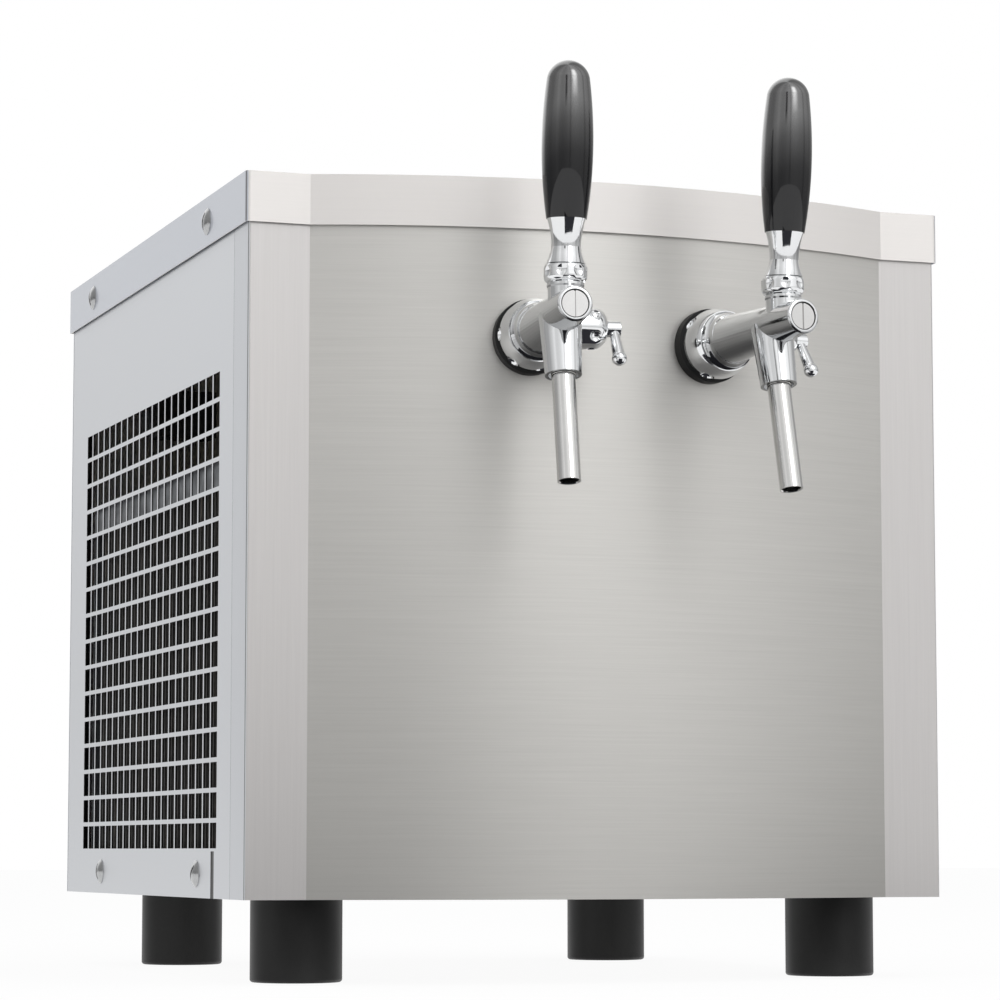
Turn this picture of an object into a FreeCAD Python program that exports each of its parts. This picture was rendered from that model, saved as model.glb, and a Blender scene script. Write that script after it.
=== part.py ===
"""Draft beer cooler: a sheet-metal cabinet on rubber feet with two compensator taps.

Millimetres. +Z is up, the taps point to -Y, and the origin lies on the floor under the middle of the whole
object, from the tips of the taps to the ends of the beer inlets.
Every piece is drawn in the cabinet's own frame, where y = 0 is the flat front plane, y grows to the rear and
z = 0 is the cabinet's underside, or in a tap's frame, where -y runs out along the tap and z runs up its neck.
"""
import FreeCAD
import Part
import Sketcher
import math
import os
import re

# Driving sizes: name, value, meaning.
SIZES = [
    # Cabinet
    ("body_width", 460, "over the side panels"),
    ("body_depth", 490, "flat front plane to rear panel"),
    ("body_height", 441, "underside to lid top"),
    ("sheet", 0.8, "stainless sheet thickness"),
    ("cut_over", 1, "how far a cutting shape runs past the surface"),
    ("hole_room", 0.2, "each side of a bolt in its hole"),
    ("bend", 1.6, "outer radius of the folded corners"),
    ("crease_half", 191.4, "middle to the crease of the front"),
    ("front_bulge", 34.2, "how far the middle of the front stands out"),
    ("return_depth", 33, "front panel folded back at the sides"),
    ("seam", 0.3, "gap between front panel and side panel"),
    ("rear_flange", 14, "side panel folded in at the rear"),
    ("lid_overhang", 2.3, "lid beyond the panels"),
    ("lid_skirt", 31.2, "height of the lid's skirt"),
    ("lid_corner", 3, "outer radius of the lid's corners"),
    ("tray_rim", 26, "height of the base tray's rim"),
    ("foot_diameter", 57, ""),
    ("foot_height", 51, ""),
    ("foot_edge", 2, "radius round the foot's lower edge"),
    ("foot_front_x", 180, "middle to a front foot"),
    ("foot_back_x", 162, "middle to a back foot"),
    ("foot_front_y", 61, ""),
    ("foot_back_y", 418, ""),
    ("foot_bolt", 8, "thread of the foot's bolt"),
    ("foot_bolt_length", 30, "below the tray"),
    ("foot_bolt_head", 13, "across flats"),
    ("foot_bolt_head_height", 5.5, ""),
    ("foot_bolt_room", 2, "under the bolt's end"),
    # Punched grille in the left side panel
    ("hole_wide", 15.2, ""),
    ("hole_tall", 15.8, ""),
    ("hole_pitch_y", 17.86, ""),
    ("hole_pitch_z", 18.66, ""),
    ("grille_columns", 21, ""),
    ("grille_rows", 16, ""),
    ("grille_front", 66, "front plane to the first column"),
    ("grille_bottom", 30.8, "underside to the lowest row"),
    ("slit_from_front", 77, "slit below the grille"),
    ("slit_height", 29, ""),
    ("slit_width", 2, ""),
    # Slotted domed screws
    ("screw_head", 17, ""),
    ("screw_head_height", 3.4, ""),
    ("screw_rim", 0.5, "straight rim under the dome"),
    ("screw_shank", 6, ""),
    ("screw_hole", 6.6, ""),
    ("screw_slot_width", 1.8, ""),
    ("screw_slot_depth", 1.3, ""),
    ("lid_screw_length", 8, ""),
    ("side_screw_length", 3.3, ""),
    ("lid_screw_front", 91, ""),
    ("lid_screw_back", 415, ""),
    ("lid_screw_drop", 16, "below the lid's top"),
    ("side_screw_front", 115, ""),
    ("side_screw_back", 381, ""),
    ("side_screw_up", 15, ""),
    # Rear panel
    ("rear_screw_head", 8, ""),
    ("rear_screw_head_height", 2.4, ""),
    ("rear_screw_shank", 4, ""),
    ("rear_screw_length", 6, ""),
    ("rear_screw_edge", 1, "shoulder of the head"),
    ("rear_screw_curve", 1.8, ""),
    ("rear_screw_pitch", 165, ""),
    ("rear_screw_z", 40, "lowest rear screw"),
    ("vent_long", 120, "rear air slots"),
    ("vent_tall", 5, ""),
    ("vent_pitch", 12, ""),
    ("vent_count", 12, ""),
    ("vent_bottom", 100, ""),
    # Condenser, behind the grille
    ("condenser_gap", 3, "side panel to condenser"),
    ("condenser_front", 56, ""),
    ("condenser_back", 428, ""),
    ("condenser_top", 272, ""),
    ("condenser_thick", 30, ""),
    ("condenser_lip", 16, "flange of the frame that shows behind the grille"),
    ("condenser_sheet", 1.2, ""),
    ("fin_pitch", 9, ""),
    ("fin_thick", 1, ""),
    ("fin_count", 40, ""),
    ("fin_bar_tall", 8, "tube rows that carry the fins"),
    ("fin_bar_thick", 6, ""),
    ("fin_bar_count", 5, ""),
    ("fin_first", 4, "frame to the first fin"),
    ("fin_room", 1, "fin's edges inside the frame"),
    # Fan
    ("fan_y", 166, ""),
    ("fan_z", 136, ""),
    ("fan_ring_radius", 105, ""),
    ("fan_ring_deep", 18, ""),
    ("fan_radius", 100, ""),
    ("fan_hub_radius", 28, ""),
    ("fan_hub_long", 22, ""),
    ("fan_blades", 5, ""),
    ("fan_blade_wide", 46, ""),
    ("fan_blade_thick", 1.6, ""),
    ("fan_blade_pitch", 24, "degrees"),
    ("fan_blade_curve", 59.8, "radius of the blade's camber"),
    ("fan_blade_root", 6, "blade inside the hub"),
    ("fan_hub_edge", 3, ""),
    ("fan_trim", 12, "room of the cut that trims the blades' tips"),
    ("fan_shroud_gap", 5, "shroud plate to hub"),
    ("fan_shaft", 6, ""),
    ("fan_shaft_long", 22, "inside the motor"),
    ("motor_radius", 32, ""),
    ("motor_long", 48, ""),
    ("motor_gap", 3, "hub to motor"),
    ("motor_nose_radius", 24, ""),
    ("motor_nose_long", 5, ""),
    ("motor_shoulder_long", 9, "nose and slope together"),
    ("motor_back_edge", 5, ""),
    ("shaft_room", 2, "behind the shaft's end"),
    ("bracket_wide", 26, ""),
    ("bracket_thick", 2, ""),
    ("bracket_half", 110, "fan axis to a leg"),
    ("bracket_foot", 12, ""),
    # Compressor
    ("compressor_x", -95, ""),
    ("compressor_y", 360, ""),
    ("compressor_radius", 67, ""),
    ("compressor_tall", 168, ""),
    ("compressor_seam", 3, "how far the welded seam stands out"),
    ("compressor_seam_half", 3, "half the height of the seam's band"),
    ("compressor_seam_slope", 2, ""),
    ("compressor_foot_step", 22, ""),
    ("compressor_foot_rise", 24, ""),
    ("compressor_foot_curve", 26, ""),
    ("compressor_shoulder_drop", 36, ""),
    ("compressor_shoulder_curve", 38, ""),
    ("cover_in", 12, "terminal cover into the shell"),
    ("cover_out", 14, "terminal cover beyond the shell"),
    ("cover_half", 24, ""),
    ("cover_tall", 44, ""),
    ("cover_rise", 6, "above the seam"),
    ("compressor_crown", 120, "radius of the domed top"),
    ("base_plate_x", 128, ""),
    ("base_plate_y", 176, ""),
    ("base_plate_thick", 3, ""),
    ("grommet_radius", 11, ""),
    ("grommet_tall", 12, ""),
    ("grommet_bore", 7, ""),
    ("grommet_waist", 7, "radius in the base plate"),
    ("grommet_lip", 9, "radius above the base plate"),
    ("grommet_top", 8, "radius at the top"),
    ("grommet_lip_tall", 4, ""),
    ("grommet_x", 46, ""),
    ("grommet_y", 74, ""),
    # Cold block in its insulation
    ("foam_left", 14, ""),
    ("foam_right", 222, ""),
    ("foam_front", 40, ""),
    ("foam_back", 250, ""),
    ("foam_top", 415, ""),
    ("foam_wall", 22, ""),
    ("foam_base", 130, "thickness under the block"),
    ("bolt_room", 3, "foam clear of a bolt's head"),
    ("line_diameter", 9.5, "beer line"),
    ("line_port", 18, "hole in the foam round a line"),
    ("line_seat", 5, "line cast into the block"),
    ("cross_drop", 42, "left beer line below the taps"),
    ("cross_x", 100, "where the left beer line enters the block"),
    ("line_bend", 13, "bend radius"),
    ("line_straight", 2, "straight run before a bend"),
    # Rear fittings and controls
    ("inlet_x", 80, "left inlet"),
    ("inlet_spacing", 60, ""),
    ("inlet_z", 340, ""),
    ("inlet_thread", 22.9, "outside"),
    ("inlet_thread_long", 16, ""),
    ("inlet_hex", 30, ""),
    ("inlet_hex_thick", 6, ""),
    ("inlet_bore", 7, ""),
    ("inlet_tail", 20, "thread inside the cabinet"),
    ("inlet_tail_long", 20, ""),
    ("inlet_nut", 28, "across flats"),
    ("inlet_nut_thick", 6, ""),
    ("control_z", 350, "height of the rear controls"),
    ("knob_x", -150, ""),
    ("knob_radius", 19, ""),
    ("knob_deep", 16, ""),
    ("knob_shaft", 6, ""),
    ("knob_hole", 8, "in the rear panel"),
    ("knob_shaft_short", 4, "shaft's end to the thermostat's back"),
    ("knob_off_panel", 0.5, ""),
    ("knob_skirt_tall", 4, ""),
    ("knob_step_in", 2.5, ""),
    ("knob_step_at", 5.5, ""),
    ("knob_grip_in", 4, ""),
    ("knob_edge", 2, ""),
    ("knob_mark_wide", 2.4, ""),
    ("knob_mark_long", 7.5, ""),
    ("knob_mark_in", 4.5, "below the knob's edge"),
    ("knob_mark_deep", 1, ""),
    ("flute_radius", 3, ""),
    ("flute_at", 18.5, ""),
    ("flute_end", 4.5, "flutes stop above the skirt"),
    ("flute_count", 12, ""),
    ("thermostat_wide", 44, ""),
    ("thermostat_tall", 34, ""),
    ("thermostat_deep", 26, ""),
    ("switch_x", -70, ""),
    ("switch_wide", 22, "bezel"),
    ("switch_tall", 31, "bezel"),
    ("switch_bezel", 2.2, ""),
    ("switch_hole_wide", 19, ""),
    ("switch_hole_tall", 27, ""),
    ("switch_deep", 24, ""),
    ("switch_fit", 0.15, "each side in its hole"),
    ("switch_well", 12, ""),
    ("rocker_wide", 12, ""),
    ("rocker_tall", 20, ""),
    ("rocker_tilt", 8, "degrees"),
    ("rocker_side_gap", 0.4, ""),
    ("rocker_end_gap", 0.5, ""),
    ("rocker_pin", 1.5, "radius"),
    ("rocker_pin_hole", 1.5, "depth beside the well"),
    ("rocker_pin_reach", 1.3, ""),
    ("rocker_sunk", 2, "pin below the panel"),
    ("rocker_under", 3, ""),
    ("rocker_side_tall", 2, ""),
    ("rocker_edge_tall", 5, ""),
    ("rocker_edge_in", 1, ""),
    ("rocker_dish", 28, "radius of the hollow top"),
    ("gland_x", -130, ""),
    ("gland_z", 60, ""),
    ("gland_hex", 24, ""),
    ("gland_thread", 20, ""),
    ("gland_bore", 9, ""),
    ("gland_hex_thick", 7, ""),
    ("gland_tail", 9, ""),
    ("gland_dome_out", 0.8, ""),
    ("gland_dome_low", 13, ""),
    ("gland_dome_high", 20, ""),
    ("gland_dome_curve", 9, ""),
    ("gland_lip", 2, ""),
    # Refrigerant lines
    ("gas_line", 8, "discharge line"),
    ("suction_diameter", 10, ""),
    ("liquid_diameter", 6.4, ""),
    ("thin_pipe_bend", 9, "bend radius"),
    ("drier_diameter", 19, ""),
    ("drier_long", 90, ""),
    ("pipe_bend", 11, "bend radius"),
    ("discharge_z", 232, ""),
    ("suction_z", 205, ""),
    ("suction_y", 420, "where the suction line crosses"),
    ("liquid_z", 40, ""),
    ("liquid_rise", 170, ""),
    ("pipe_y", 446, "where the pipes cross behind the compressor"),
    ("discharge_side", 18, "off the compressor's axis"),
    ("discharge_back", 34, "off the compressor's axis"),
    ("discharge_deep", 20, "pipe's start below the compressor's top"),
    ("suction_side", 34, "off the compressor's axis"),
    ("suction_back", 18, "off the compressor's axis"),
    ("suction_deep", 24, "pipe's end below the compressor's top"),
    ("suction_in", 90, "from the foam's left side"),
    ("liquid_in", 120, "from the foam's left side"),
    # Taps
    ("tap_pitch", 118.2, ""),
    ("tap_shift", -0.9, "middle of the two taps, off the cabinet's middle"),
    ("tap_height", 342.1, "above the cabinet's underside"),
    ("tap_yaw", 6.6, "degrees, outwards"),
    ("tap_rise", 1.9, "degrees"),
    ("tap_hole", 25.2, "in the front panel"),
    ("gasket_diameter", 46.5, ""),
    ("gasket_thick", 7, ""),
    ("gasket_edge", 0.6, ""),
    ("gasket_back", 4, "drawn past the panel's face, then cut to it"),
    ("rosette_diameter", 43.4, ""),
    ("rosette_front_diameter", 37.8, ""),
    ("rosette_thick", 18, ""),
    ("rosette_edge", 2.5, "straight edge before the slope"),
    ("rosette_curve", 23.8, "radius of the rosette's side"),
    ("seat_fit", 0.25, "round the body's flange"),
    ("rosette_seat", 3.2, "depth of the seat for the body's flange"),
    ("rosette_dimples", 7, ""),
    ("rosette_dimple_radius", 5.2, ""),
    ("rosette_dimple_depth", 3, ""),
    ("rosette_dimple_out", 2.6, "in front of the straight edge"),
    ("rosette_turn_left", 12, "degrees, first dimple from straight up"),
    ("rosette_turn_right", -5, "degrees, first dimple from straight up"),
    ("shank_diameter", 22.9, ""),
    ("shank_room", 0.5, "radius, in the rubber ring and the rosette"),
    ("shank_length", 40, "behind the panel"),
    ("flange_diameter", 36, ""),
    ("flange_thick", 3.6, ""),
    ("bell_length", 7.5, ""),
    ("bell_radius", 9, ""),
    ("barrel_back", 30, "diameter"),
    ("barrel_front", 21.3, "diameter"),
    ("barrel_length", 116.6, "panel to the tip"),
    ("barrel_edge", 1.5, "radius round the barrel's front"),
    ("inlet_passage", 9.5, "diameter of the shank's bore"),
    ("cone_seat_back", 12, ""),
    ("cone_seat_front", 30, ""),
    ("cone_seat_diameter", 13, ""),
    ("barrel_bore", 15, ""),
    ("plug_diameter", 16.4, ""),
    ("plug_thick", 7, ""),
    ("plug_sunk", 0.7, "below the ring's face"),
    ("plug_slot_width", 1, ""),
    ("plug_slot_depth", 1.2, ""),
    ("plug_bevel", 0.3, ""),
    ("plug_chamfer", 0.4, "round the plug's hole"),
    ("neck_at", 93.1, "panel to the neck's axis"),
    ("neck_diameter", 21.2, ""),
    ("pivot_height", 15, "ball's centre above the barrel's axis"),
    ("neck_above_pivot", 5, ""),
    ("collar_diameter", 22.2, "collar under the top nut"),
    ("collar_thick", 2.4, ""),
    ("collar_slope", 1, "slope on both sides of the collar"),
    ("collar_gap", 0.4, "collar to the top nut"),
    ("ball_radius", 8.3, ""),
    ("ball_fit", 0.08, ""),
    ("holder_at", 78.8, "where the spout's axis meets the barrel's"),
    ("holder_lean", 10.3, "degrees"),
    ("holder_length", 37.9, ""),
    ("holder_top_diameter", 26, ""),
    ("holder_diameter", 22, ""),
    ("holder_recess", 18, "round the spout at the holder's mouth"),
    ("holder_recess_depth", 1.6, ""),
    ("spout_diameter", 14, ""),
    ("spout_bore", 11.4, ""),
    ("spout_reach", 65.6, "below the holder"),
    ("spout_seat", 14, "inside the holder"),
    ("spout_collar", 14.8, "thicker end inside the holder"),
    ("spout_bevel", 0.6, ""),
    ("top_nut_diameter", 25.7, ""),
    ("top_nut_low", 2.1, "above the pivot"),
    ("top_nut_high", 12.2, "above the pivot"),
    ("top_nut_lip_radius", 6.9, ""),
    ("top_nut_lip_thick", 0.6, ""),
    ("top_nut_foot_in", 1.2, ""),
    ("top_nut_foot_tall", 2.6, ""),
    ("top_nut_foot_curve", 3.4, ""),
    ("top_nut_shoulder_in", 1, ""),
    ("top_nut_shoulder_tall", 3, ""),
    ("top_nut_shoulder_curve", 5, ""),
    ("top_nut_crown_in", 1.65, ""),
    ("top_nut_dimples", 8, ""),
    ("top_nut_dimple_radius", 6.5, ""),
    ("top_nut_dimple_depth", 1.15, ""),
    ("slip_fit", 0.05, "between a shaft and its bore"),
    ("handle_lean", 5.6, "degrees"),
    ("stem_radius", 3.2, ""),
    ("stem_height", 33, "above the pivot"),
    ("pin_radius", 2, ""),
    ("pin_reach", 9.2, "below the pivot"),
    ("pin_ball_radius", 2.6, ""),
    ("ferrule_low", 12.8, "rim above the pivot"),
    ("ferrule_rim_radius", 11.8, ""),
    ("ferrule_waist_radius", 8.7, ""),
    ("ferrule_waist", 22.5, "above the pivot"),
    ("ferrule_top_radius", 11.4, ""),
    ("ferrule_high", 39.2, "above the pivot"),
    ("ferrule_stud_radius", 4, ""),
    ("ferrule_stud_long", 16, ""),
    ("stud_room", 0.5, "past a stud's end"),
    ("ferrule_low_curve", 26, ""),
    ("ferrule_high_curve", 58, ""),
    ("grip_long", 93.9, ""),
    ("grip_low_radius", 12, ""),
    ("grip_shoulder_radius", 12.75, ""),
    ("grip_side_curve", 300, ""),
    ("grip_dome_radius", 13, ""),
    ("land_radius", 7.42, "piston in the barrel's bore"),
    ("land_taper", 3, ""),
    ("piston_stem_radius", 2.5, ""),
    ("piston_flange_radius", 6.2, ""),
    ("piston_flange_thick", 1.8, ""),
    ("pin_play", 0.3, "each side of the pin's ball"),
    ("front_land_back", 101.1, ""),
    ("front_land_thick", 4.8, ""),
    ("rear_land_back", 59.6, ""),
    ("rear_land_thick", 10, ""),
    ("side_at", 39.1, "panel to the side lever's axis"),
    ("boss_diameter", 21, ""),
    ("boss_reach", 24, ""),
    ("side_nut_diameter", 25.8, ""),
    ("side_nut_low", 17, ""),
    ("side_nut_full", 29.5, ""),
    ("side_nut_high", 38.3, ""),
    ("side_nut_nose_radius", 5.6, ""),
    ("side_nut_curve", 9.5, ""),
    ("side_nut_edge_in", 1, ""),
    ("side_nut_edge_tall", 1.4, ""),
    ("side_nut_edge_curve", 1.8, ""),
    ("side_nut_room", 0.3, "round the side lever's shaft"),
    ("boss_room", 0.2, "boss's end to the nut's inside"),
    ("side_nut_dimples", 6, ""),
    ("side_nut_dimple_radius", 4.6, ""),
    ("side_nut_dimple_depth", 2.4, ""),
    ("side_shaft_radius", 3.95, ""),
    ("side_shaft_start", 7.7, ""),
    ("side_knob_radius", 5, ""),
    ("side_knob_end", 47, ""),
    ("side_knob_gap", 0.3, "nut to knob"),
    ("side_knob_bevel", 0.6, ""),
    ("side_lever_at", 43, ""),
    ("side_lever_length", 24, "axis to the ball"),
    ("side_lever_lean", 33, "degrees forward of straight down"),
    ("side_lever_root_radius", 2.8, ""),
    ("side_lever_tip_radius", 3.9, ""),
    ("side_lever_ball_radius", 4.55, ""),
    ("crank_throw", 2, ""),
    ("crank_pin_radius", 1, ""),
    ("crank_pin_end", 1.9, ""),
    ("crank_pin_root", 0.5, "inside the shaft's end"),
    ("crank_play", 0.25, ""),
    ("cone_tip", 13.5, ""),
    ("cone_tip_radius", 2, ""),
    ("cone_base_radius", 5.3, ""),
    ("cone_collar_thick", 3.2, ""),
    ("cone_waist_radius", 0.9, ""),
    ("cone_guide_thick", 2.2, ""),
    ("lock_nut_hex", 32, ""),
    ("lock_nut_thick", 8, ""),
    ("lock_nut_gap", 1, "nut's face clear of the curved panel"),
]

# Values worked out from the driving sizes.
WORKED_OUT = {
    "half_width": "body_width / 2",
    "tap_facing": "(cos(tap_yaw) * cos(tap_rise))",
    "edge_radius": "barrel_front / 2 - barrel_edge",
    "edge_start": "barrel_length - barrel_edge",
    "tap_tip": "tap_face - edge_start * tap_facing - edge_radius * sqrt(1 - tap_facing^2) - barrel_edge",
    "inlet_end": "body_depth + inlet_hex_thick + inlet_thread_long",
    "middle_y": "(tap_tip + inlet_end) / 2",
    "front_radius": "(crease_half^2 + front_bulge^2) / (2 * front_bulge)",
    "front_centre": "front_radius - front_bulge",
    "panel_top": "body_height - sheet",
    "rear_inside": "body_depth - 2 * sheet",
    "tap_face": "front_centre - sqrt(front_radius^2 - (tap_pitch / 2)^2)",
    "condenser_left": "sheet + condenser_gap - half_width",
    "condenser_right": "condenser_left + condenser_thick",
    "condenser_mid": "condenser_left + condenser_thick / 2",
    "shroud_right": "condenser_right + condenser_sheet",
    "hub_left": "shroud_right + fan_shroud_gap",
    "motor_left": "hub_left + fan_hub_long + motor_gap",
    "motor_right": "motor_left + motor_long",
    "base_plate_low": "sheet + grommet_tall",
    "compressor_low": "base_plate_low + base_plate_thick",
    "block_front": "foam_front + foam_wall",
    "block_back": "foam_back - foam_wall",
    "rosette_front": "gasket_thick + rosette_thick",
    "flange_back": "rosette_front - rosette_seat",
    "bell_front": "flange_back + flange_thick + bell_length",
    "plug_front": "barrel_length - plug_sunk",
    "plug_back": "plug_front - plug_thick",
    "shank_bore": "shank_diameter / 2 + shank_room",
    "neck_top": "pivot_height + neck_above_pivot",
    "cup_radius": "sqrt(ferrule_rim_radius^2 + ferrule_low^2)",
    "cup_at_stem": "sqrt(cup_radius^2 - stem_radius^2)",
    "pin_at": "neck_at - pin_reach * sin(handle_lean)",
    "fork_half": "pin_ball_radius + pin_play",
    "crank_half": "crank_pin_radius + crank_play",
    "cone_collar_back": "side_at - crank_half - cone_collar_thick",
    "shank_end": "0 - shank_length",
    "line_run": "(block_front + line_seat - tap_face) / (cos(tap_yaw) * cos(tap_rise))",
    "port_mid": "(foam_front + block_front) / 2 - tap_face",
    "right_port_x": "tap_shift + tap_pitch / 2 - port_mid * tan(tap_yaw)",
    "right_port_z": "tap_height - port_mid * tan(tap_rise) / cos(tap_yaw)",
    "suction_x": "foam_left + suction_in",
    "liquid_x": "foam_left + liquid_in",
    "compressor_top": "compressor_low + compressor_tall",
    "grip_shoulder": "grip_long - grip_dome_radius + sqrt(grip_dome_radius^2 - grip_shoulder_radius^2)",
}

ORIGIN_ROLES = ("XY_Plane", "XZ_Plane", "YZ_Plane", "X_Axis", "Y_Axis", "Z_Axis")
FULL_TURN = 360
SHORTEST_RUN = 0.001
SMALLEST_BEND = math.radians(1)
VOLUME_TOLERANCE = 0.01
doc = FreeCAD.newDocument("DraftBeerCooler")
nodes = {}


def make_sheet():
    """Write every driving size into the spreadsheet, with its name as the cell's alias."""
    sheet = doc.addObject("Spreadsheet::Sheet", "Sizes")
    for row, (name, size, meaning) in enumerate(SIZES, start=1):
        sheet.set(f"A{row}", f"{name} {meaning}".strip())
        sheet.set(f"B{row}", str(size))
        sheet.setAlias(f"B{row}", name)
    doc.recompute()
    return sheet


sizes = make_sheet()
size_names = {name for name, size, meaning in SIZES}


def bound(formula):
    """Turn a formula of size names into an expression on the spreadsheet's cells."""
    def swap(match):
        word = match.group(0)
        if word in WORKED_OUT:
            return "(" + bound(WORKED_OUT[word]) + ")"
        if word in size_names:
            return "Sizes." + word
        return word
    return re.sub(r"[A-Za-z_]\w*", swap, str(formula))


def value(formula):
    """The number that a formula comes to."""
    result = sizes.evalExpression(bound(formula))
    return float(getattr(result, "Value", result))


def shifted(x, y, z):
    return f"placement(vector({x}; {y}; {z}); rotation(vector(0; 0; 1); 0))"


def turned(x, y, z, angle):
    return f"placement(vector(0; 0; 0); rotation(vector({x}; {y}; {z}); {angle}))"


CABINET = shifted("0", "0 - middle_y", "foot_height")


def place(piece, *steps):
    """Bind a piece's placement to the cabinet's frame and then to each further step."""
    piece.setExpression("Placement", bound(" * ".join((CABINET,) + steps)))


def in_tap(side):
    """Steps from the cabinet's frame to the frame of the tap on that side (-1 left, 1 right)."""
    return (
        shifted(f"tap_shift + {side} * tap_pitch / 2", "tap_face", "tap_height"),
        turned(0, 0, 1, f"{side} * tap_yaw"),
        turned(1, 0, 0, "0 - tap_rise"),
    )


def new_body(name):
    return doc.addObject("PartDesign::Body", name)


def origin_part(body, role):
    return next(part for part in body.Origin.OriginFeatures if part.Role == role)


def circle(x, y, radius):
    return ("circle", x, y, radius)


def rectangle(x0, y0, x1, y1):
    return [(x0, y0), (x1, y0), (x1, y1), (x0, y1)]


def hexagon(x, y, flats):
    corner = f"({flats}) / sqrt(3)"
    return [(f"{x} + {corner} * cos({60 * k})", f"{y} + {corner} * sin({60 * k})") for k in range(6)]


def arc_middle(start, end, radius, turn):
    """A point halfway along the short arc from start to end; turn is 1 where it runs anticlockwise."""
    chord = end - start
    left = FreeCAD.Vector(-chord.y, chord.x, 0).normalize()
    rise = math.sqrt(max(radius**2 - (chord.Length / 2)**2, 0))
    centre = (start + end) / 2 + left * (turn * rise)
    return centre - left * (turn * radius)


def draw_circle(sketch, x, y, radius):
    middle = FreeCAD.Vector(value(x), value(y), 0)
    edge = sketch.addGeometry(Part.Circle(middle, FreeCAD.Vector(0, 0, 1), value(radius)), False)
    for kind, formula in (("DistanceX", x), ("DistanceY", y)):
        index = sketch.addConstraint(Sketcher.Constraint(kind, -1, 1, edge, 3, value(formula)))
        sketch.setExpression(f"Constraints[{index}]", bound(formula))
    index = sketch.addConstraint(Sketcher.Constraint("Radius", edge, value(radius)))
    sketch.setExpression(f"Constraints[{index}]", bound(radius))


def draw_outline(sketch, corners):
    """Draw a closed outline. A corner (x, y) ends a line; (x, y, radius, turn) ends an arc."""
    spots = [FreeCAD.Vector(value(corner[0]), value(corner[1]), 0) for corner in corners]
    ends = []
    for k, corner in enumerate(corners):
        start, end = spots[k - 1], spots[k]
        if len(corner) == 2:
            edge = sketch.addGeometry(Part.LineSegment(start, end), False)
            ends.append((edge, 1, 2))
            continue
        radius, turn = corner[2], corner[3]
        middle = arc_middle(start, end, value(radius), turn)
        if turn > 0:
            edge = sketch.addGeometry(Part.Arc(start, middle, end), False)
            ends.append((edge, 1, 2))
        else:
            edge = sketch.addGeometry(Part.Arc(end, middle, start), False)
            ends.append((edge, 2, 1))
    for k, (edge, first, last) in enumerate(ends):
        after, after_first, after_last = ends[(k + 1) % len(ends)]
        sketch.addConstraint(Sketcher.Constraint("Coincident", edge, last, after, after_first))
    for k, corner in enumerate(corners):
        edge, first, last = ends[k]
        for kind, formula in (("DistanceX", corner[0]), ("DistanceY", corner[1])):
            index = sketch.addConstraint(Sketcher.Constraint(kind, -1, 1, edge, last, value(formula)))
            sketch.setExpression(f"Constraints[{index}]", bound(formula))
        if len(corner) > 2:
            index = sketch.addConstraint(Sketcher.Constraint("Radius", edge, value(corner[2])))
            sketch.setExpression(f"Constraints[{index}]", bound(corner[2]))


def sketch_on(body, role, outlines, offset=None):
    """Sketch closed outlines on one of the body's own planes, moved along its normal by offset."""
    sketch = body.newObject("Sketcher::SketchObject", "Sketch")
    sketch.AttachmentSupport = [(origin_part(body, role), "")]
    sketch.MapMode = "FlatFace"
    if offset is not None:
        sketch.setExpression("AttachmentOffset.Base.z", bound(offset))
    for outline in outlines:
        if outline[0] == "circle":
            draw_circle(sketch, *outline[1:])
        else:
            draw_outline(sketch, outline)
    return sketch


def pad(body, role, outlines, length, offset=None, middle=False):
    """Extrude outlines along the plane's normal."""
    feature = body.newObject("PartDesign::Pad", "Pad")
    feature.Profile = sketch_on(body, role, outlines, offset)
    feature.setExpression("Length", bound(length))
    feature.Midplane = middle
    return feature


def pocket(body, role, outlines, length=None, offset=None, reverse=False):
    """Cut outlines out of the body: by a length against the plane's normal, or right through both ways."""
    feature = body.newObject("PartDesign::Pocket", "Pocket")
    feature.Profile = sketch_on(body, role, outlines, offset)
    if length is None:
        feature.Type = "ThroughAll"
        feature.Midplane = True
    else:
        feature.setExpression("Length", bound(length))
        feature.Reversed = reverse
    return feature


def turn_round(body, kind, role, outline, axis):
    """Revolve (or groove) an outline about the sketch's own axis."""
    feature = body.newObject(f"PartDesign::{kind}", kind)
    sketch = sketch_on(body, role, [outline])
    feature.Profile = sketch
    feature.ReferenceAxis = (sketch, [axis])
    feature.Angle = FULL_TURN
    return feature


def lathe(body, outline):
    """Revolve an outline of (radius, distance out along the tap) about the tap's axis."""
    return turn_round(body, "Revolution", "XY_Plane", outward(outline), "V_Axis")


def lathe_cut(body, outline):
    return turn_round(body, "Groove", "XY_Plane", outward(outline), "V_Axis")


def outward(outline):
    """Distances out along a tap run towards -y, which mirrors the arcs' turn."""
    mirrored = []
    for corner in outline:
        spot = (corner[0], f"0 - ({corner[1]})")
        mirrored.append(spot + ((corner[2], -corner[3]) if len(corner) > 2 else ()))
    return mirrored


def upright(body, outline, kind="Revolution"):
    """Revolve an outline of (radius, height) about the body's Z axis."""
    return turn_round(body, kind, "XZ_Plane", outline, "V_Axis")


def sideways(body, outline, kind="Revolution"):
    """Revolve an outline of (distance along X, radius) about the body's X axis."""
    return turn_round(body, kind, "XY_Plane", outline, "H_Axis")


def primitive(body, kind, sizes_of, *steps):
    """Add or cut a ball, cone or cylinder, placed in the body by the given steps."""
    feature = body.newObject(f"PartDesign::{kind}", kind)
    for name, formula in sizes_of.items():
        feature.setExpression(name, bound(formula))
    if steps:
        feature.setExpression("Placement", bound(" * ".join(steps)))
    return feature


def round_pattern(body, feature, axis, count):
    pattern = body.newObject("PartDesign::PolarPattern", "Pattern")
    pattern.Originals = [feature]
    pattern.Axis = (origin_part(body, axis), [""])
    pattern.Angle = FULL_TURN
    pattern.setExpression("Occurrences", bound(count))
    body.Tip = pattern
    return pattern


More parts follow.
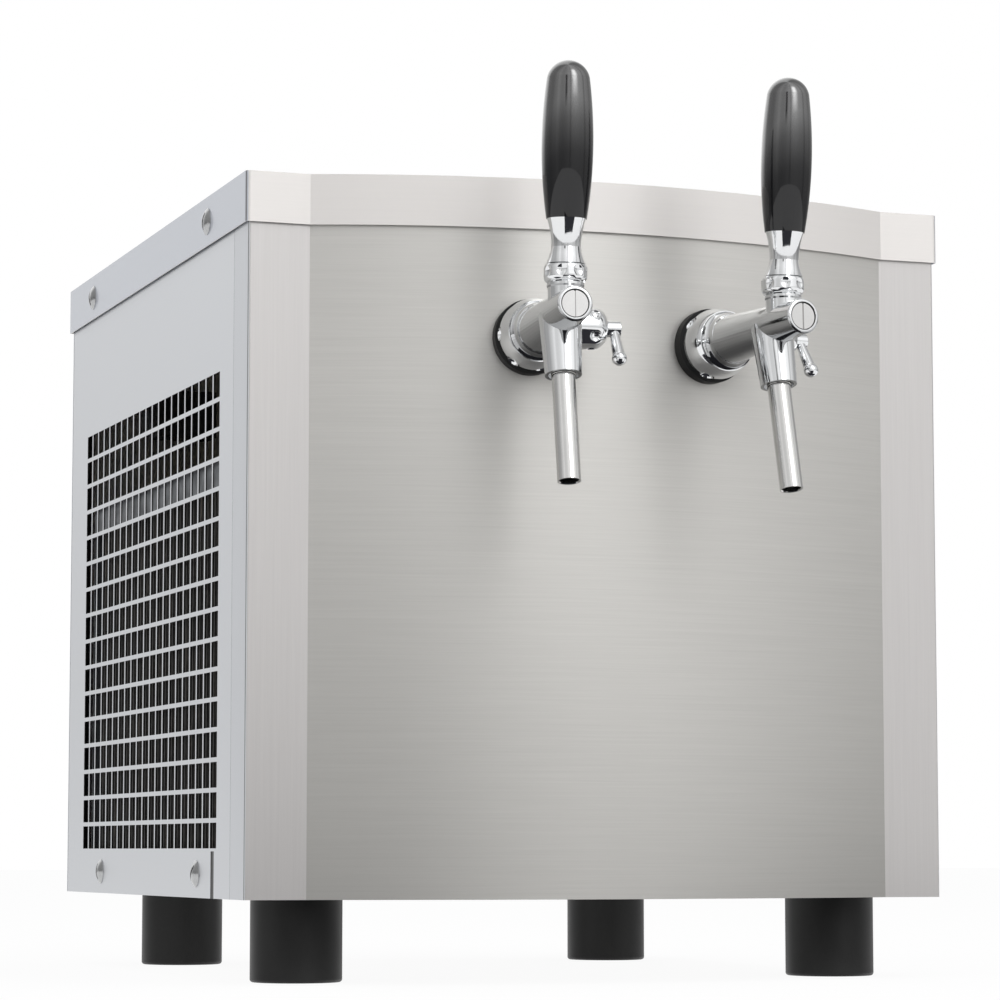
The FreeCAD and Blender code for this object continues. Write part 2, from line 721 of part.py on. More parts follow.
def row_pattern(body, feature, axis, span, count):
    pattern = body.newObject("PartDesign::LinearPattern", "Pattern")
    pattern.Originals = [feature]
    pattern.Direction = (origin_part(body, axis), [""])
    pattern.setExpression("Length", bound(span))
    pattern.setExpression("Occurrences", bound(count))
    body.Tip = pattern
    return pattern


def grid_pattern(body, feature, first, second):
    """Repeat a feature in two directions, each an (axis, span, count)."""
    grid = body.newObject("PartDesign::MultiTransform", "Grid")
    rows = []
    for axis, span, count in (first, second):
        row = body.newObject("PartDesign::LinearPattern", "Row")
        row.Direction = (origin_part(body, axis), [""])
        row.setExpression("Length", bound(span))
        row.setExpression("Occurrences", bound(count))
        rows.append(row)
    grid.Originals = [feature]
    grid.Transformations = rows
    body.Tip = grid
    return grid


def keep(name, piece):
    """Register a piece as a node under its own name."""
    piece.Label = name
    nodes[name] = piece
    return piece


def group(name, pieces):
    """Keep identical pieces as one node of separate solids."""
    compound = doc.addObject("Part::Compound", name)
    compound.Links = pieces
    return keep(name, compound)


def front_outline(grow, half_extra, back, corner):
    """Plan of the cabinet, grown outwards by grow: straight sides, flat bands and the convex front."""
    edge = f"half_width + ({grow}) + ({half_extra})"
    level = f"0 - ({grow})"
    crease = f"sqrt((front_radius + ({grow}))^2 - (front_centre + ({grow}))^2)"
    return [
        (f"0 - ({edge})", back),
        (f"0 - ({edge})", f"{level} + {corner}"),
        (f"0 - ({edge}) + {corner}", level, corner, 1),
        (f"0 - {crease}", level),
        (crease, level, f"front_radius + ({grow})", 1),
        (f"{edge} - {corner}", level),
        (edge, f"{level} + {corner}", corner, 1),
        (edge, back),
    ]


def make_front_panel():
    body = new_body("front_panel")
    outer = front_outline("0", "0", "return_depth", "bend")
    inner = front_outline("0 - sheet", "0", "return_depth", "(bend - sheet)")
    pad(body, "XY_Plane", [outer + inner[::-1][:1] + reverse_arcs(inner)[1:]], "panel_top")
    holes = [circle(f"tap_shift + {side} * tap_pitch / 2", "tap_height", "tap_hole / 2") for side in (-1, 1)]
    pocket(body, "XZ_Plane", holes)
    place(body)
    return keep("front_panel", body)


def reverse_arcs(outline):
    """The same outline run backwards, with each arc moved to its other end and turned over."""
    backwards = []
    count = len(outline)
    for k in range(count - 1, -1, -1):
        spot = outline[k][:2]
        after = outline[(k + 1) % count]
        if len(after) > 2:
            backwards.append(spot + (after[2], -after[3]))
        else:
            backwards.append(spot)
    return backwards


REAR_SCREW_ROWS = 3
REAR_SCREW_SPOTS = [f"rear_screw_z + {k} * rear_screw_pitch" for k in range(REAR_SCREW_ROWS)]


def make_side_panel(name, side):
    """A sheet with a flange folded in at the rear; the grille is punched in the left one."""
    body = new_body(name)
    out = f"{side} * half_width"
    into = f"{side} * (half_width - sheet)"
    flange = f"{side} * (half_width - rear_flange)"
    plan = [
        (out, "return_depth + seam"),
        (out, "body_depth - sheet - bend"),
        (f"{side} * (half_width - bend)", "body_depth - sheet", "bend", side),
        (flange, "body_depth - sheet"),
        (flange, "rear_inside"),
        (f"{side} * (half_width - bend)", "rear_inside"),
        (into, "body_depth - sheet - bend", "bend - sheet", -side),
        (into, "return_depth + seam"),
    ]
    pad(body, "XY_Plane", [plan], "panel_top")
    near_lid = "body_height - lid_screw_drop"
    holes = [circle(y, near_lid, "screw_shank / 2") for y in ("lid_screw_front", "lid_screw_back")]
    holes += [circle(y, "side_screw_up", "screw_hole / 2") for y in ("side_screw_front", "side_screw_back")]
    pocket(body, "YZ_Plane", holes)
    flange_middle = f"{side} * (half_width - rear_flange / 2)"
    pocket(body, "XZ_Plane", [circle(flange_middle, z, "rear_screw_shank / 2") for z in REAR_SCREW_SPOTS])
    if side < 0:
        slit_end = "slit_from_front + slit_width"
        pocket(body, "YZ_Plane", [rectangle("slit_from_front", "0 - cut_over", slit_end, "slit_height")])
        first = rectangle("grille_front", "grille_bottom", "grille_front + hole_wide",
                          "grille_bottom + hole_tall")
        hole = pocket(body, "YZ_Plane", [first])
        columns = ("Y_Axis", "hole_pitch_y * (grille_columns - 1)", "grille_columns")
        rows = ("Z_Axis", "hole_pitch_z * (grille_rows - 1)", "grille_rows")
        grid_pattern(body, hole, columns, rows)
    place(body)
    return keep(name, body)


def make_rear_panel():
    body = new_body("rear_panel")
    sheet_outline = rectangle("0 - half_width", "0", "half_width", "panel_top")
    pad(body, "XZ_Plane", [sheet_outline], "sheet", "0 - body_depth")
    holes = [circle(x, "inlet_z", "inlet_tail / 2 + slip_fit") for x in ("inlet_x", "inlet_x + inlet_spacing")]
    holes.append(circle("knob_x", "control_z", "knob_hole / 2"))
    holes.append(circle("gland_x", "gland_z", "gland_thread / 2 + slip_fit"))
    for side in (-1, 1):
        x = f"{side} * (half_width - rear_flange / 2)"
        holes += [circle(x, z, "rear_screw_shank / 2 + hole_room") for z in REAR_SCREW_SPOTS]
    holes.append(rectangle("switch_x - switch_hole_wide / 2", "control_z - switch_hole_tall / 2",
                           "switch_x + switch_hole_wide / 2", "control_z + switch_hole_tall / 2"))
    pocket(body, "XZ_Plane", holes)
    vent = rectangle("compressor_x - vent_long / 2", "vent_bottom", "compressor_x + vent_long / 2",
                     "vent_bottom + vent_tall")
    slot = pocket(body, "XZ_Plane", [vent])
    row_pattern(body, slot, "Z_Axis", "vent_pitch * (vent_count - 1)", "vent_count")
    place(body)
    return keep("rear_panel", body)


def make_base_tray():
    body = new_body("base_tray")
    outer = front_outline("0 - sheet", "0", "rear_inside", "(bend - sheet)")
    pad(body, "XY_Plane", [outer], "tray_rim")
    inner = front_outline("0 - 2 * sheet", "0", "rear_inside - sheet", "bend")
    pocket(body, "XY_Plane", [inner], "tray_rim", "tray_rim + sheet")
    bolt = "foot_bolt / 2 + hole_room"
    holes = [circle(f"{side} * {x}", y, bolt) for side in (-1, 1) for x, y in FOOT_SPOTS]
    pocket(body, "XY_Plane", holes)
    sides = [circle(y, "side_screw_up", "screw_shank / 2") for y in ("side_screw_front", "side_screw_back")]
    pocket(body, "YZ_Plane", sides)
    place(body)
    return keep("base_tray", body)


FOOT_SPOTS = (("foot_front_x", "foot_front_y"), ("foot_back_x", "foot_back_y"))


def make_lid():
    body = new_body("lid")
    outer = front_outline("lid_overhang", "0", "body_depth + lid_overhang", "lid_corner")
    pad(body, "XY_Plane", [outer], "lid_skirt", "body_height - lid_skirt")
    inner = front_outline("lid_overhang - sheet", "0", "body_depth + lid_overhang - sheet",
                          "(lid_corner - sheet)")
    pocket(body, "XY_Plane", [inner], "lid_skirt", "body_height - sheet")
    holes = [circle(y, "body_height - lid_screw_drop", "screw_hole / 2")
             for y in ("lid_screw_front", "lid_screw_back")]
    pocket(body, "YZ_Plane", holes)
    place(body)
    return keep("lid", body)


def domed_screw(name, length):
    """A slotted domed screw: the head's flat back lies at x = 0 and the head points to +x."""
    body = new_body(name)
    rise = "(screw_head_height - screw_rim)"
    dome = f"(screw_head^2 / 4 + {rise}^2) / (2 * {rise})"
    outline = [
        (f"0 - {length}", "0"),
        ("screw_head_height", "0"),
        ("screw_rim", "screw_head / 2", dome, 1),
        ("0", "screw_head / 2"),
        ("0", "screw_shank / 2"),
        (f"0 - {length}", "screw_shank / 2"),
    ]
    sideways(body, outline)
    slot = rectangle("screw_head_height - screw_slot_depth", "0 - screw_slot_width / 2",
                     "screw_head_height + cut_over", "screw_slot_width / 2")
    pocket(body, "XZ_Plane", [slot])
    return body


def make_screws():
    lid_screws = []
    side_screws = []
    for side in (-1, 1):
        facing = turned(0, 0, 1, "180" if side < 0 else "0")
        for k, y in enumerate(("lid_screw_front", "lid_screw_back")):
            screw = domed_screw(f"lid_screw_{side + 2}_{k}", "lid_screw_length")
            spin = turned(1, 0, 0, LID_SLOTS[k])
            place(screw, shifted(f"{side} * (half_width + lid_overhang)", y, "body_height - lid_screw_drop"),
                  facing, spin)
            lid_screws.append(screw)
        for k, y in enumerate(("side_screw_front", "side_screw_back")):
            screw = domed_screw(f"side_screw_{side + 2}_{k}", "side_screw_length")
            spin = turned(1, 0, 0, SIDE_SLOTS[k])
            place(screw, shifted(f"{side} * half_width", y, "side_screw_up"), facing, spin)
            side_screws.append(screw)
    group("lid_screws", lid_screws)
    group("side_screws", side_screws)


# Degrees that each screw's slot stands at, front and back.
LID_SLOTS = (70, 100)
SIDE_SLOTS = (60, 95)


def make_rear_screws():
    screws = []
    for side in (-1, 1):
        for k, z in enumerate(REAR_SCREW_SPOTS):
            screw = new_body(f"rear_screw_{side + 2}_{k}")
            outline = [
                ("0", "0 - rear_screw_length"),
                ("rear_screw_shank / 2", "0 - rear_screw_length"),
                ("rear_screw_shank / 2", "0"),
                ("rear_screw_head / 2", "0"),
                ("rear_screw_head / 2", "rear_screw_head_height / 2"),
                ("rear_screw_head / 2 - rear_screw_edge", "rear_screw_head_height", "rear_screw_curve", 1),
                ("0", "rear_screw_head_height"),
            ]
            upright(screw, outline)
            place(screw, shifted(f"{side} * (half_width - rear_flange / 2)", "body_depth", z),
                  turned(1, 0, 0, "-90"))
            screws.append(screw)
    group("rear_screws", screws)


def make_feet():
    feet = []
    bolts = []
    for side in (-1, 1):
        for k, (x, y) in enumerate(FOOT_SPOTS):
            foot = new_body(f"foot_{side + 2}_{k}")
            outline = [
                ("foot_bolt / 2", "0"),
                ("foot_diameter / 2", "0"),
                ("foot_diameter / 2", "foot_edge - foot_height"),
                ("foot_diameter / 2 - foot_edge", "0 - foot_height", "foot_edge", -1),
                ("0", "0 - foot_height"),
                ("0", "0 - foot_bolt_length - foot_bolt_room"),
                ("foot_bolt / 2", "0 - foot_bolt_length - foot_bolt_room"),
            ]
            upright(foot, outline)
            place(foot, shifted(f"{side} * {x}", y, "0"))
            feet.append(foot)
            bolt = new_body(f"foot_bolt_{side + 2}_{k}")
            pad(bolt, "XY_Plane", [hexagon("0", "0", "foot_bolt_head")], "foot_bolt_head_height", "sheet")
            pad(bolt, "XY_Plane", [circle("0", "0", "foot_bolt / 2")], "foot_bolt_length + sheet",
                "0 - foot_bolt_length")
            place(bolt, shifted(f"{side} * {x}", y, "0"))
            bolts.append(bolt)
    group("feet", feet)
    group("foot_bolts", bolts)


def make_condenser():
    """The frame is a folded box with a lip on the grille side; the fins stand on flat tube rows."""
    frame = new_body("condenser_frame")
    outer = rectangle("condenser_front", "sheet", "condenser_back", "condenser_top")
    inner = rectangle("condenser_front + condenser_sheet", "sheet + condenser_sheet",
                      "condenser_back - condenser_sheet", "condenser_top - condenser_sheet")
    pad(frame, "YZ_Plane", [outer, inner], "condenser_thick", "condenser_left")
    lip = rectangle("condenser_front", "condenser_top - condenser_lip", "condenser_back", "condenser_top")
    pad(frame, "YZ_Plane", [lip], "condenser_sheet", "condenser_left")
    place(frame)
    keep("condenser_frame", frame)

    fins = new_body("condenser_fins")
    low = "sheet + condenser_sheet"
    high = "condenser_top - condenser_sheet"
    first = "condenser_front + condenser_sheet + fin_first"
    near = "condenser_left + condenser_sheet + fin_room"
    far = "condenser_right - fin_room"
    last = f"{first} + fin_pitch * (fin_count - 1) + fin_thick"
    step = f"(({high}) - ({low})) / fin_bar_count"
    bars = []
    for k in range(round(value("fin_bar_count"))):
        middle = f"{low} + {step} * {k + 0.5}"
        bars.append(rectangle(first, f"{middle} - fin_bar_tall / 2", last, f"{middle} + fin_bar_tall / 2"))
    pad(fins, "YZ_Plane", bars, "fin_bar_thick", "condenser_mid - fin_bar_thick / 2")
    fin = pad(fins, "XY_Plane", [rectangle(near, first, far, f"{first} + fin_thick")],
              f"({high}) - ({low})", low)
    row_pattern(fins, fin, "Y_Axis", "fin_pitch * (fin_count - 1)", "fin_count")
    place(fins)
    keep("condenser_fins", fins)


def make_fan():
    shroud = new_body("fan_shroud")
    plate = rectangle("condenser_front", "sheet", "condenser_back", "condenser_top")
    pad(shroud, "YZ_Plane", [plate], "condenser_sheet", "condenser_right")
    ring = circle("fan_y", "fan_z", "fan_ring_radius + condenser_sheet")
    pad(shroud, "YZ_Plane", [ring], "fan_ring_deep", "condenser_right")
    pocket(shroud, "YZ_Plane", [circle("fan_y", "fan_z", "fan_ring_radius")])
    place(shroud)
    keep("fan_shroud", shroud)

    rotor = new_body("fan_rotor")
    hub = [
        ("0", "0"),
        ("fan_hub_radius - fan_hub_edge", "0"),
        ("fan_hub_radius", "fan_hub_edge", "fan_hub_edge", 1),
        ("fan_hub_radius", "fan_hub_long"),
        ("fan_shaft / 2", "fan_hub_long"),
        ("fan_shaft / 2", "fan_hub_long + motor_gap + fan_shaft_long"),
        ("0", "fan_hub_long + motor_gap + fan_shaft_long"),
    ]
    upright(rotor, hub)
    across = "fan_blade_wide / 2 * cos(fan_blade_pitch)"
    along = "fan_blade_wide / 2 * sin(fan_blade_pitch)"
    mid = "fan_hub_long / 2"
    thick_z = "fan_blade_thick / cos(fan_blade_pitch)"
    blade = [
        (f"0 - {across}", f"{mid} - {along}"),
        (across, f"{mid} + {along}", "fan_blade_curve", -1),
        (across, f"{mid} + {along} + {thick_z}"),
        (f"0 - {across}", f"{mid} - {along} + {thick_z}", "fan_blade_curve", 1),
    ]
    one = pad(rotor, "YZ_Plane", [blade], "fan_radius - fan_hub_radius + fan_blade_root",
              "fan_hub_radius - fan_blade_root")
    round_pattern(rotor, one, "Z_Axis", "fan_blades")
    beyond = rectangle("fan_radius", "0 - fan_trim", "fan_radius + fan_trim", "fan_hub_long + fan_trim")
    upright(rotor, beyond, "Groove")
    place(rotor, shifted("hub_left", "fan_y", "fan_z"), turned(0, 1, 0, "90"))
    keep("fan_rotor", rotor)

    motor = new_body("fan_motor")
    can = [
        ("fan_shaft / 2 + slip_fit", "0"),
        ("motor_nose_radius", "0"),
        ("motor_nose_radius", "motor_nose_long"),
        ("motor_radius", "motor_shoulder_long"),
        ("motor_radius", "motor_long - motor_back_edge"),
        ("motor_radius - motor_back_edge", "motor_long"),
        ("0", "motor_long"),
        ("0", "fan_shaft_long + shaft_room"),
        ("fan_shaft / 2 + slip_fit", "fan_shaft_long + shaft_room"),
    ]
    upright(motor, can)
    place(motor, shifted("motor_left", "fan_y", "fan_z"), turned(0, 1, 0, "90"))
    keep("fan_motor", motor)

    bracket = new_body("fan_bracket")
    inner_leg = "bracket_half - bracket_thick"
    strip = [
        ("shroud_right", "bracket_half + bracket_foot"),
        ("shroud_right", "bracket_half - bracket_thick"),
        ("motor_right", f"({inner_leg})"),
        ("motor_right", f"0 - ({inner_leg})"),
        ("shroud_right", f"0 - ({inner_leg})"),
        ("shroud_right", "0 - bracket_half - bracket_foot"),
        ("shroud_right + bracket_thick", "0 - bracket_half - bracket_foot"),
        ("shroud_right + bracket_thick", "0 - bracket_half"),
        ("motor_right + bracket_thick", "0 - bracket_half"),
        ("motor_right + bracket_thick", "bracket_half"),
        ("shroud_right + bracket_thick", "bracket_half"),
        ("shroud_right + bracket_thick", "bracket_half + bracket_foot"),
    ]
    pad(bracket, "XZ_Plane", [strip], "bracket_wide", middle=True)
    place(bracket, shifted("0", "fan_y", "fan_z"))
    keep("fan_bracket", bracket)


def make_compressor():
    body = new_body("compressor")
    seam = "compressor_low + compressor_tall / 2"
    crown_edge = "compressor_radius / 2"
    crown_low = f"compressor_top - compressor_crown + sqrt(compressor_crown^2 - ({crown_edge})^2)"
    outline = [
        ("0", "compressor_low"),
        ("compressor_radius - compressor_foot_step", "compressor_low"),
        ("compressor_radius", "compressor_low + compressor_foot_rise", "compressor_foot_curve", 1),
        ("compressor_radius", f"{seam} - compressor_seam_half - compressor_seam_slope"),
        ("compressor_radius + compressor_seam", f"{seam} - compressor_seam_half"),
        ("compressor_radius + compressor_seam", f"{seam} + compressor_seam_half"),
        ("compressor_radius", f"{seam} + compressor_seam_half + compressor_seam_slope"),
        ("compressor_radius", "compressor_top - compressor_shoulder_drop"),
        (crown_edge, crown_low, "compressor_shoulder_curve", 1),
        ("0", "compressor_top", "compressor_crown", 1),
    ]
    upright(body, outline)
    plate = rectangle("0 - base_plate_x / 2", "0 - base_plate_y / 2", "base_plate_x / 2", "base_plate_y / 2")
    holes = [circle(f"{i} * grommet_x", f"{j} * grommet_y", "grommet_waist")
             for i in (-1, 1) for j in (-1, 1)]
    pad(body, "XY_Plane", [plate] + holes, "base_plate_thick", "base_plate_low")
    cover = rectangle("compressor_radius - cover_in", "0 - cover_half", "compressor_radius + cover_out",
                      "cover_half")
    pad(body, "XY_Plane", [cover], "cover_tall", f"{seam} + cover_rise")
    place(body, shifted("compressor_x", "compressor_y", "0"))
    keep("compressor", body)

    grommets = []
    for i in (-1, 1):
        for j in (-1, 1):
            grommet = new_body(f"grommet_{i + 1}_{j + 1}")
            ring = [
                ("grommet_bore / 2", "sheet"),
                ("grommet_radius", "sheet"),
                ("grommet_radius", "base_plate_low"),
                ("grommet_waist", "base_plate_low"),
                ("grommet_waist", "compressor_low"),
                ("grommet_lip", "compressor_low"),
                ("grommet_top", "compressor_low + grommet_lip_tall"),
                ("grommet_bore / 2", "compressor_low + grommet_lip_tall"),
            ]
            upright(grommet, ring)
            place(grommet, shifted(f"compressor_x + {i} * grommet_x", f"compressor_y + {j} * grommet_y", "0"))
            grommets.append(grommet)
    group("compressor_grommets", grommets)


def make_cold_block():
    block = new_body("cold_block")
    plan = rectangle("foam_left + foam_wall", "block_front", "foam_right - foam_wall", "block_back")
    pad(block, "XY_Plane", [plan], "foam_top - foam_wall - foam_base", "foam_base")
    place(block)
    keep("cold_block", block)

    foam = new_body("insulation")
    shell = rectangle("foam_left", "foam_front", "foam_right", "foam_back")
    pad(foam, "XY_Plane", [shell], "foam_top - sheet", "sheet")
    pocket(foam, "XY_Plane", [plan], "foam_top - foam_wall - foam_base", "foam_top - foam_wall")
    front_ports = [circle("right_port_x", "right_port_z", "line_port / 2"),
                   circle("cross_x", "tap_height - cross_drop", "line_port / 2")]
    pocket(foam, "XZ_Plane", front_ports, "foam_wall + 2 * cut_over", "cut_over - foam_front")
    rear_ports = [circle(x, "inlet_z", "line_port / 2") for x in ("inlet_x", "inlet_x + inlet_spacing")]
    rear_ports.append(circle("suction_x", "suction_z", "line_port / 2"))
    rear_ports.append(circle("liquid_x", "liquid_rise", "line_port / 2"))
    pocket(foam, "XZ_Plane", rear_ports, "foam_wall + 2 * cut_over", "cut_over - foam_back + foam_wall")
    pocket(foam, "XY_Plane", [circle("foot_front_x", "foot_front_y", "foot_bolt_head")],
           "foot_bolt_head_height + bolt_room + cut_over", "sheet + foot_bolt_head_height + bolt_room")
    place(foam)
    keep("insulation", foam)


def tube(name, spots, diameter, bend_radius, extra=None):
    """A round tube along straight runs joined by tangent arcs, drawn in the cabinet's frame."""
    points = [FreeCAD.Vector(*(value(part) for part in spot)) for spot in spots]
    radius = value(bend_radius)
    edges = []
    start = points[0]
    for k in range(1, len(points) - 1):
        into = (points[k] - points[k - 1]).normalize()
        out = (points[k + 1] - points[k]).normalize()
        turn = into.getAngle(out)
        if turn < SMALLEST_BEND:
            continue
        reach = radius * math.tan(turn / 2)
        first = points[k] - into * reach
        last = points[k] + out * reach
        inward = (out - into).normalize()
        middle = points[k] + inward * (radius / math.cos(turn / 2) - radius)
        if (first - start).Length > SHORTEST_RUN:
            edges.append(Part.LineSegment(start, first).toShape())
        edges.append(Part.Arc(first, middle, last).toShape())
        start = last
    edges.append(Part.LineSegment(start, points[-1]).toShape())
    path = Part.Wire(edges)
    heading = (points[1] - points[0]).normalize()
    ring = Part.Wire([Part.Circle(points[0], heading, value(diameter) / 2).toShape()])
    solid = path.makePipeShell([ring], True, False)
    expected = math.pi * value(diameter)**2 / 4 * path.Length
    if abs(solid.Volume - expected) > VOLUME_TOLERANCE * expected:
        raise ValueError(f"{name} has volume {solid.Volume:.0f}, not {expected:.0f}")
    if extra is not None:
        solid = solid.fuse(extra).removeSplitter()
    piece = doc.addObject("Part::Feature", name)
    piece.Shape = solid
    place(piece)
    return piece


def tap_spot(side, out):
    """A point on a tap's axis, out from the panel, in the cabinet's frame."""
    flat = f"({out}) * cos(tap_rise)"
    return (f"tap_shift + {side} * (tap_pitch / 2 + {flat} * sin(tap_yaw))",
            f"tap_face - {flat} * cos(tap_yaw)",
            f"tap_height + ({out}) * sin(tap_rise)")


def make_lines():
    inside = "block_front + line_seat"
    right = tube("right_beer_line", [tap_spot(1, "shank_end + line_seat"), tap_spot(1, "0 - line_run")],
                 "line_diameter", "line_bend")
    turn_at = tap_spot(-1, "shank_end - line_bend - line_straight")
    cross_z = "tap_height - cross_drop"
    left = tube("left_beer_line", [
        tap_spot(-1, "shank_end + line_seat"),
        turn_at,
        (turn_at[0], turn_at[1], cross_z),
        ("cross_x", turn_at[1], cross_z),
        ("cross_x", inside, cross_z),
    ], "line_diameter", "line_bend")
    lines = [right, left]
    for k, x in enumerate(("inlet_x", "inlet_x + inlet_spacing")):
        start = (x, "body_depth - sheet - inlet_tail_long", "inlet_z")
        line = tube(f"inlet_line_{k}", [start, (x, "block_back - line_seat", "inlet_z")],
                    "line_diameter", "line_bend")
        lines.append(line)
    group("beer_lines", lines)

    into_frame = "condenser_back"
    discharge_x = "compressor_x - discharge_side"
    entry_x = "compressor_x + suction_side"
    discharge = tube("discharge_line", [
        (discharge_x, "compressor_y + discharge_back", "compressor_top - discharge_deep"),
        (discharge_x, "compressor_y + discharge_back", "discharge_z"),
        (discharge_x, "pipe_y", "discharge_z"),
        ("condenser_mid", "pipe_y", "discharge_z"),
        ("condenser_mid", into_frame, "discharge_z"),
    ], "gas_line", "thin_pipe_bend")
    keep("discharge_line", discharge)
    suction = tube("suction_line", [
        ("suction_x", "block_back - line_seat", "suction_z"),
        ("suction_x", "suction_y", "suction_z"),
        (entry_x, "suction_y", "suction_z"),
        (entry_x, "compressor_y + suction_back", "suction_z"),
        (entry_x, "compressor_y + suction_back", "compressor_top - suction_deep"),
    ], "suction_diameter", "pipe_bend")
    keep("suction_line", suction)
    drier_left = "compressor_x - drier_long / 2"
    drier_spot = FreeCAD.Vector(value(drier_left), value("pipe_y"), value("liquid_z"))
    drier = Part.makeCylinder(value("drier_diameter / 2"), value("drier_long"), drier_spot,
                              FreeCAD.Vector(1, 0, 0))
    ends = [edge for edge in drier.Edges if edge.Closed]
    drier = drier.makeFillet(value("drier_diameter / 4"), ends)
    liquid = tube("liquid_line", [
        ("condenser_mid", into_frame, "liquid_z"),
        ("condenser_mid", "pipe_y", "liquid_z"),
        ("liquid_x", "pipe_y", "liquid_z"),
        ("liquid_x", "pipe_y", "liquid_rise"),
        ("liquid_x", "block_back - line_seat", "liquid_rise"),
    ], "liquid_diameter", "thin_pipe_bend", drier)
    keep("liquid_line", liquid)


def make_inlets():
    """Each inlet is a hex flange with a male thread outside and a tail with a nut inside."""
    fittings = []
    nuts = []
    for k, x in enumerate(("inlet_x", "inlet_x + inlet_spacing")):
        fitting = new_body(f"inlet_fitting_{k}")
        pad(fitting, "XY_Plane", [hexagon("0", "0", "inlet_hex")], "inlet_hex_thick")
        upright(fitting, [
            ("inlet_bore / 2", "0 - sheet - inlet_tail_long"),
            ("inlet_tail / 2", "0 - sheet - inlet_tail_long"),
            ("inlet_tail / 2", "inlet_hex_thick / 2"),
            ("inlet_thread / 2", "inlet_hex_thick / 2"),
            ("inlet_thread / 2", "inlet_hex_thick + inlet_thread_long"),
            ("inlet_bore / 2", "inlet_hex_thick + inlet_thread_long"),
        ])
        pocket(fitting, "XY_Plane", [circle("0", "0", "inlet_bore / 2")])
        where = (shifted(x, "body_depth", "inlet_z"), turned(1, 0, 0, "-90"))
        place(fitting, *where)
        fittings.append(fitting)
        nut = new_body(f"inlet_nut_{k}")
        pad(nut, "XY_Plane", [hexagon("0", "0", "inlet_nut"), circle("0", "0", "inlet_tail / 2")],
            "inlet_nut_thick", "0 - sheet - inlet_nut_thick")
        place(nut, *where)
        nuts.append(nut)
    group("inlet_fittings", fittings)
    group("inlet_nuts", nuts)


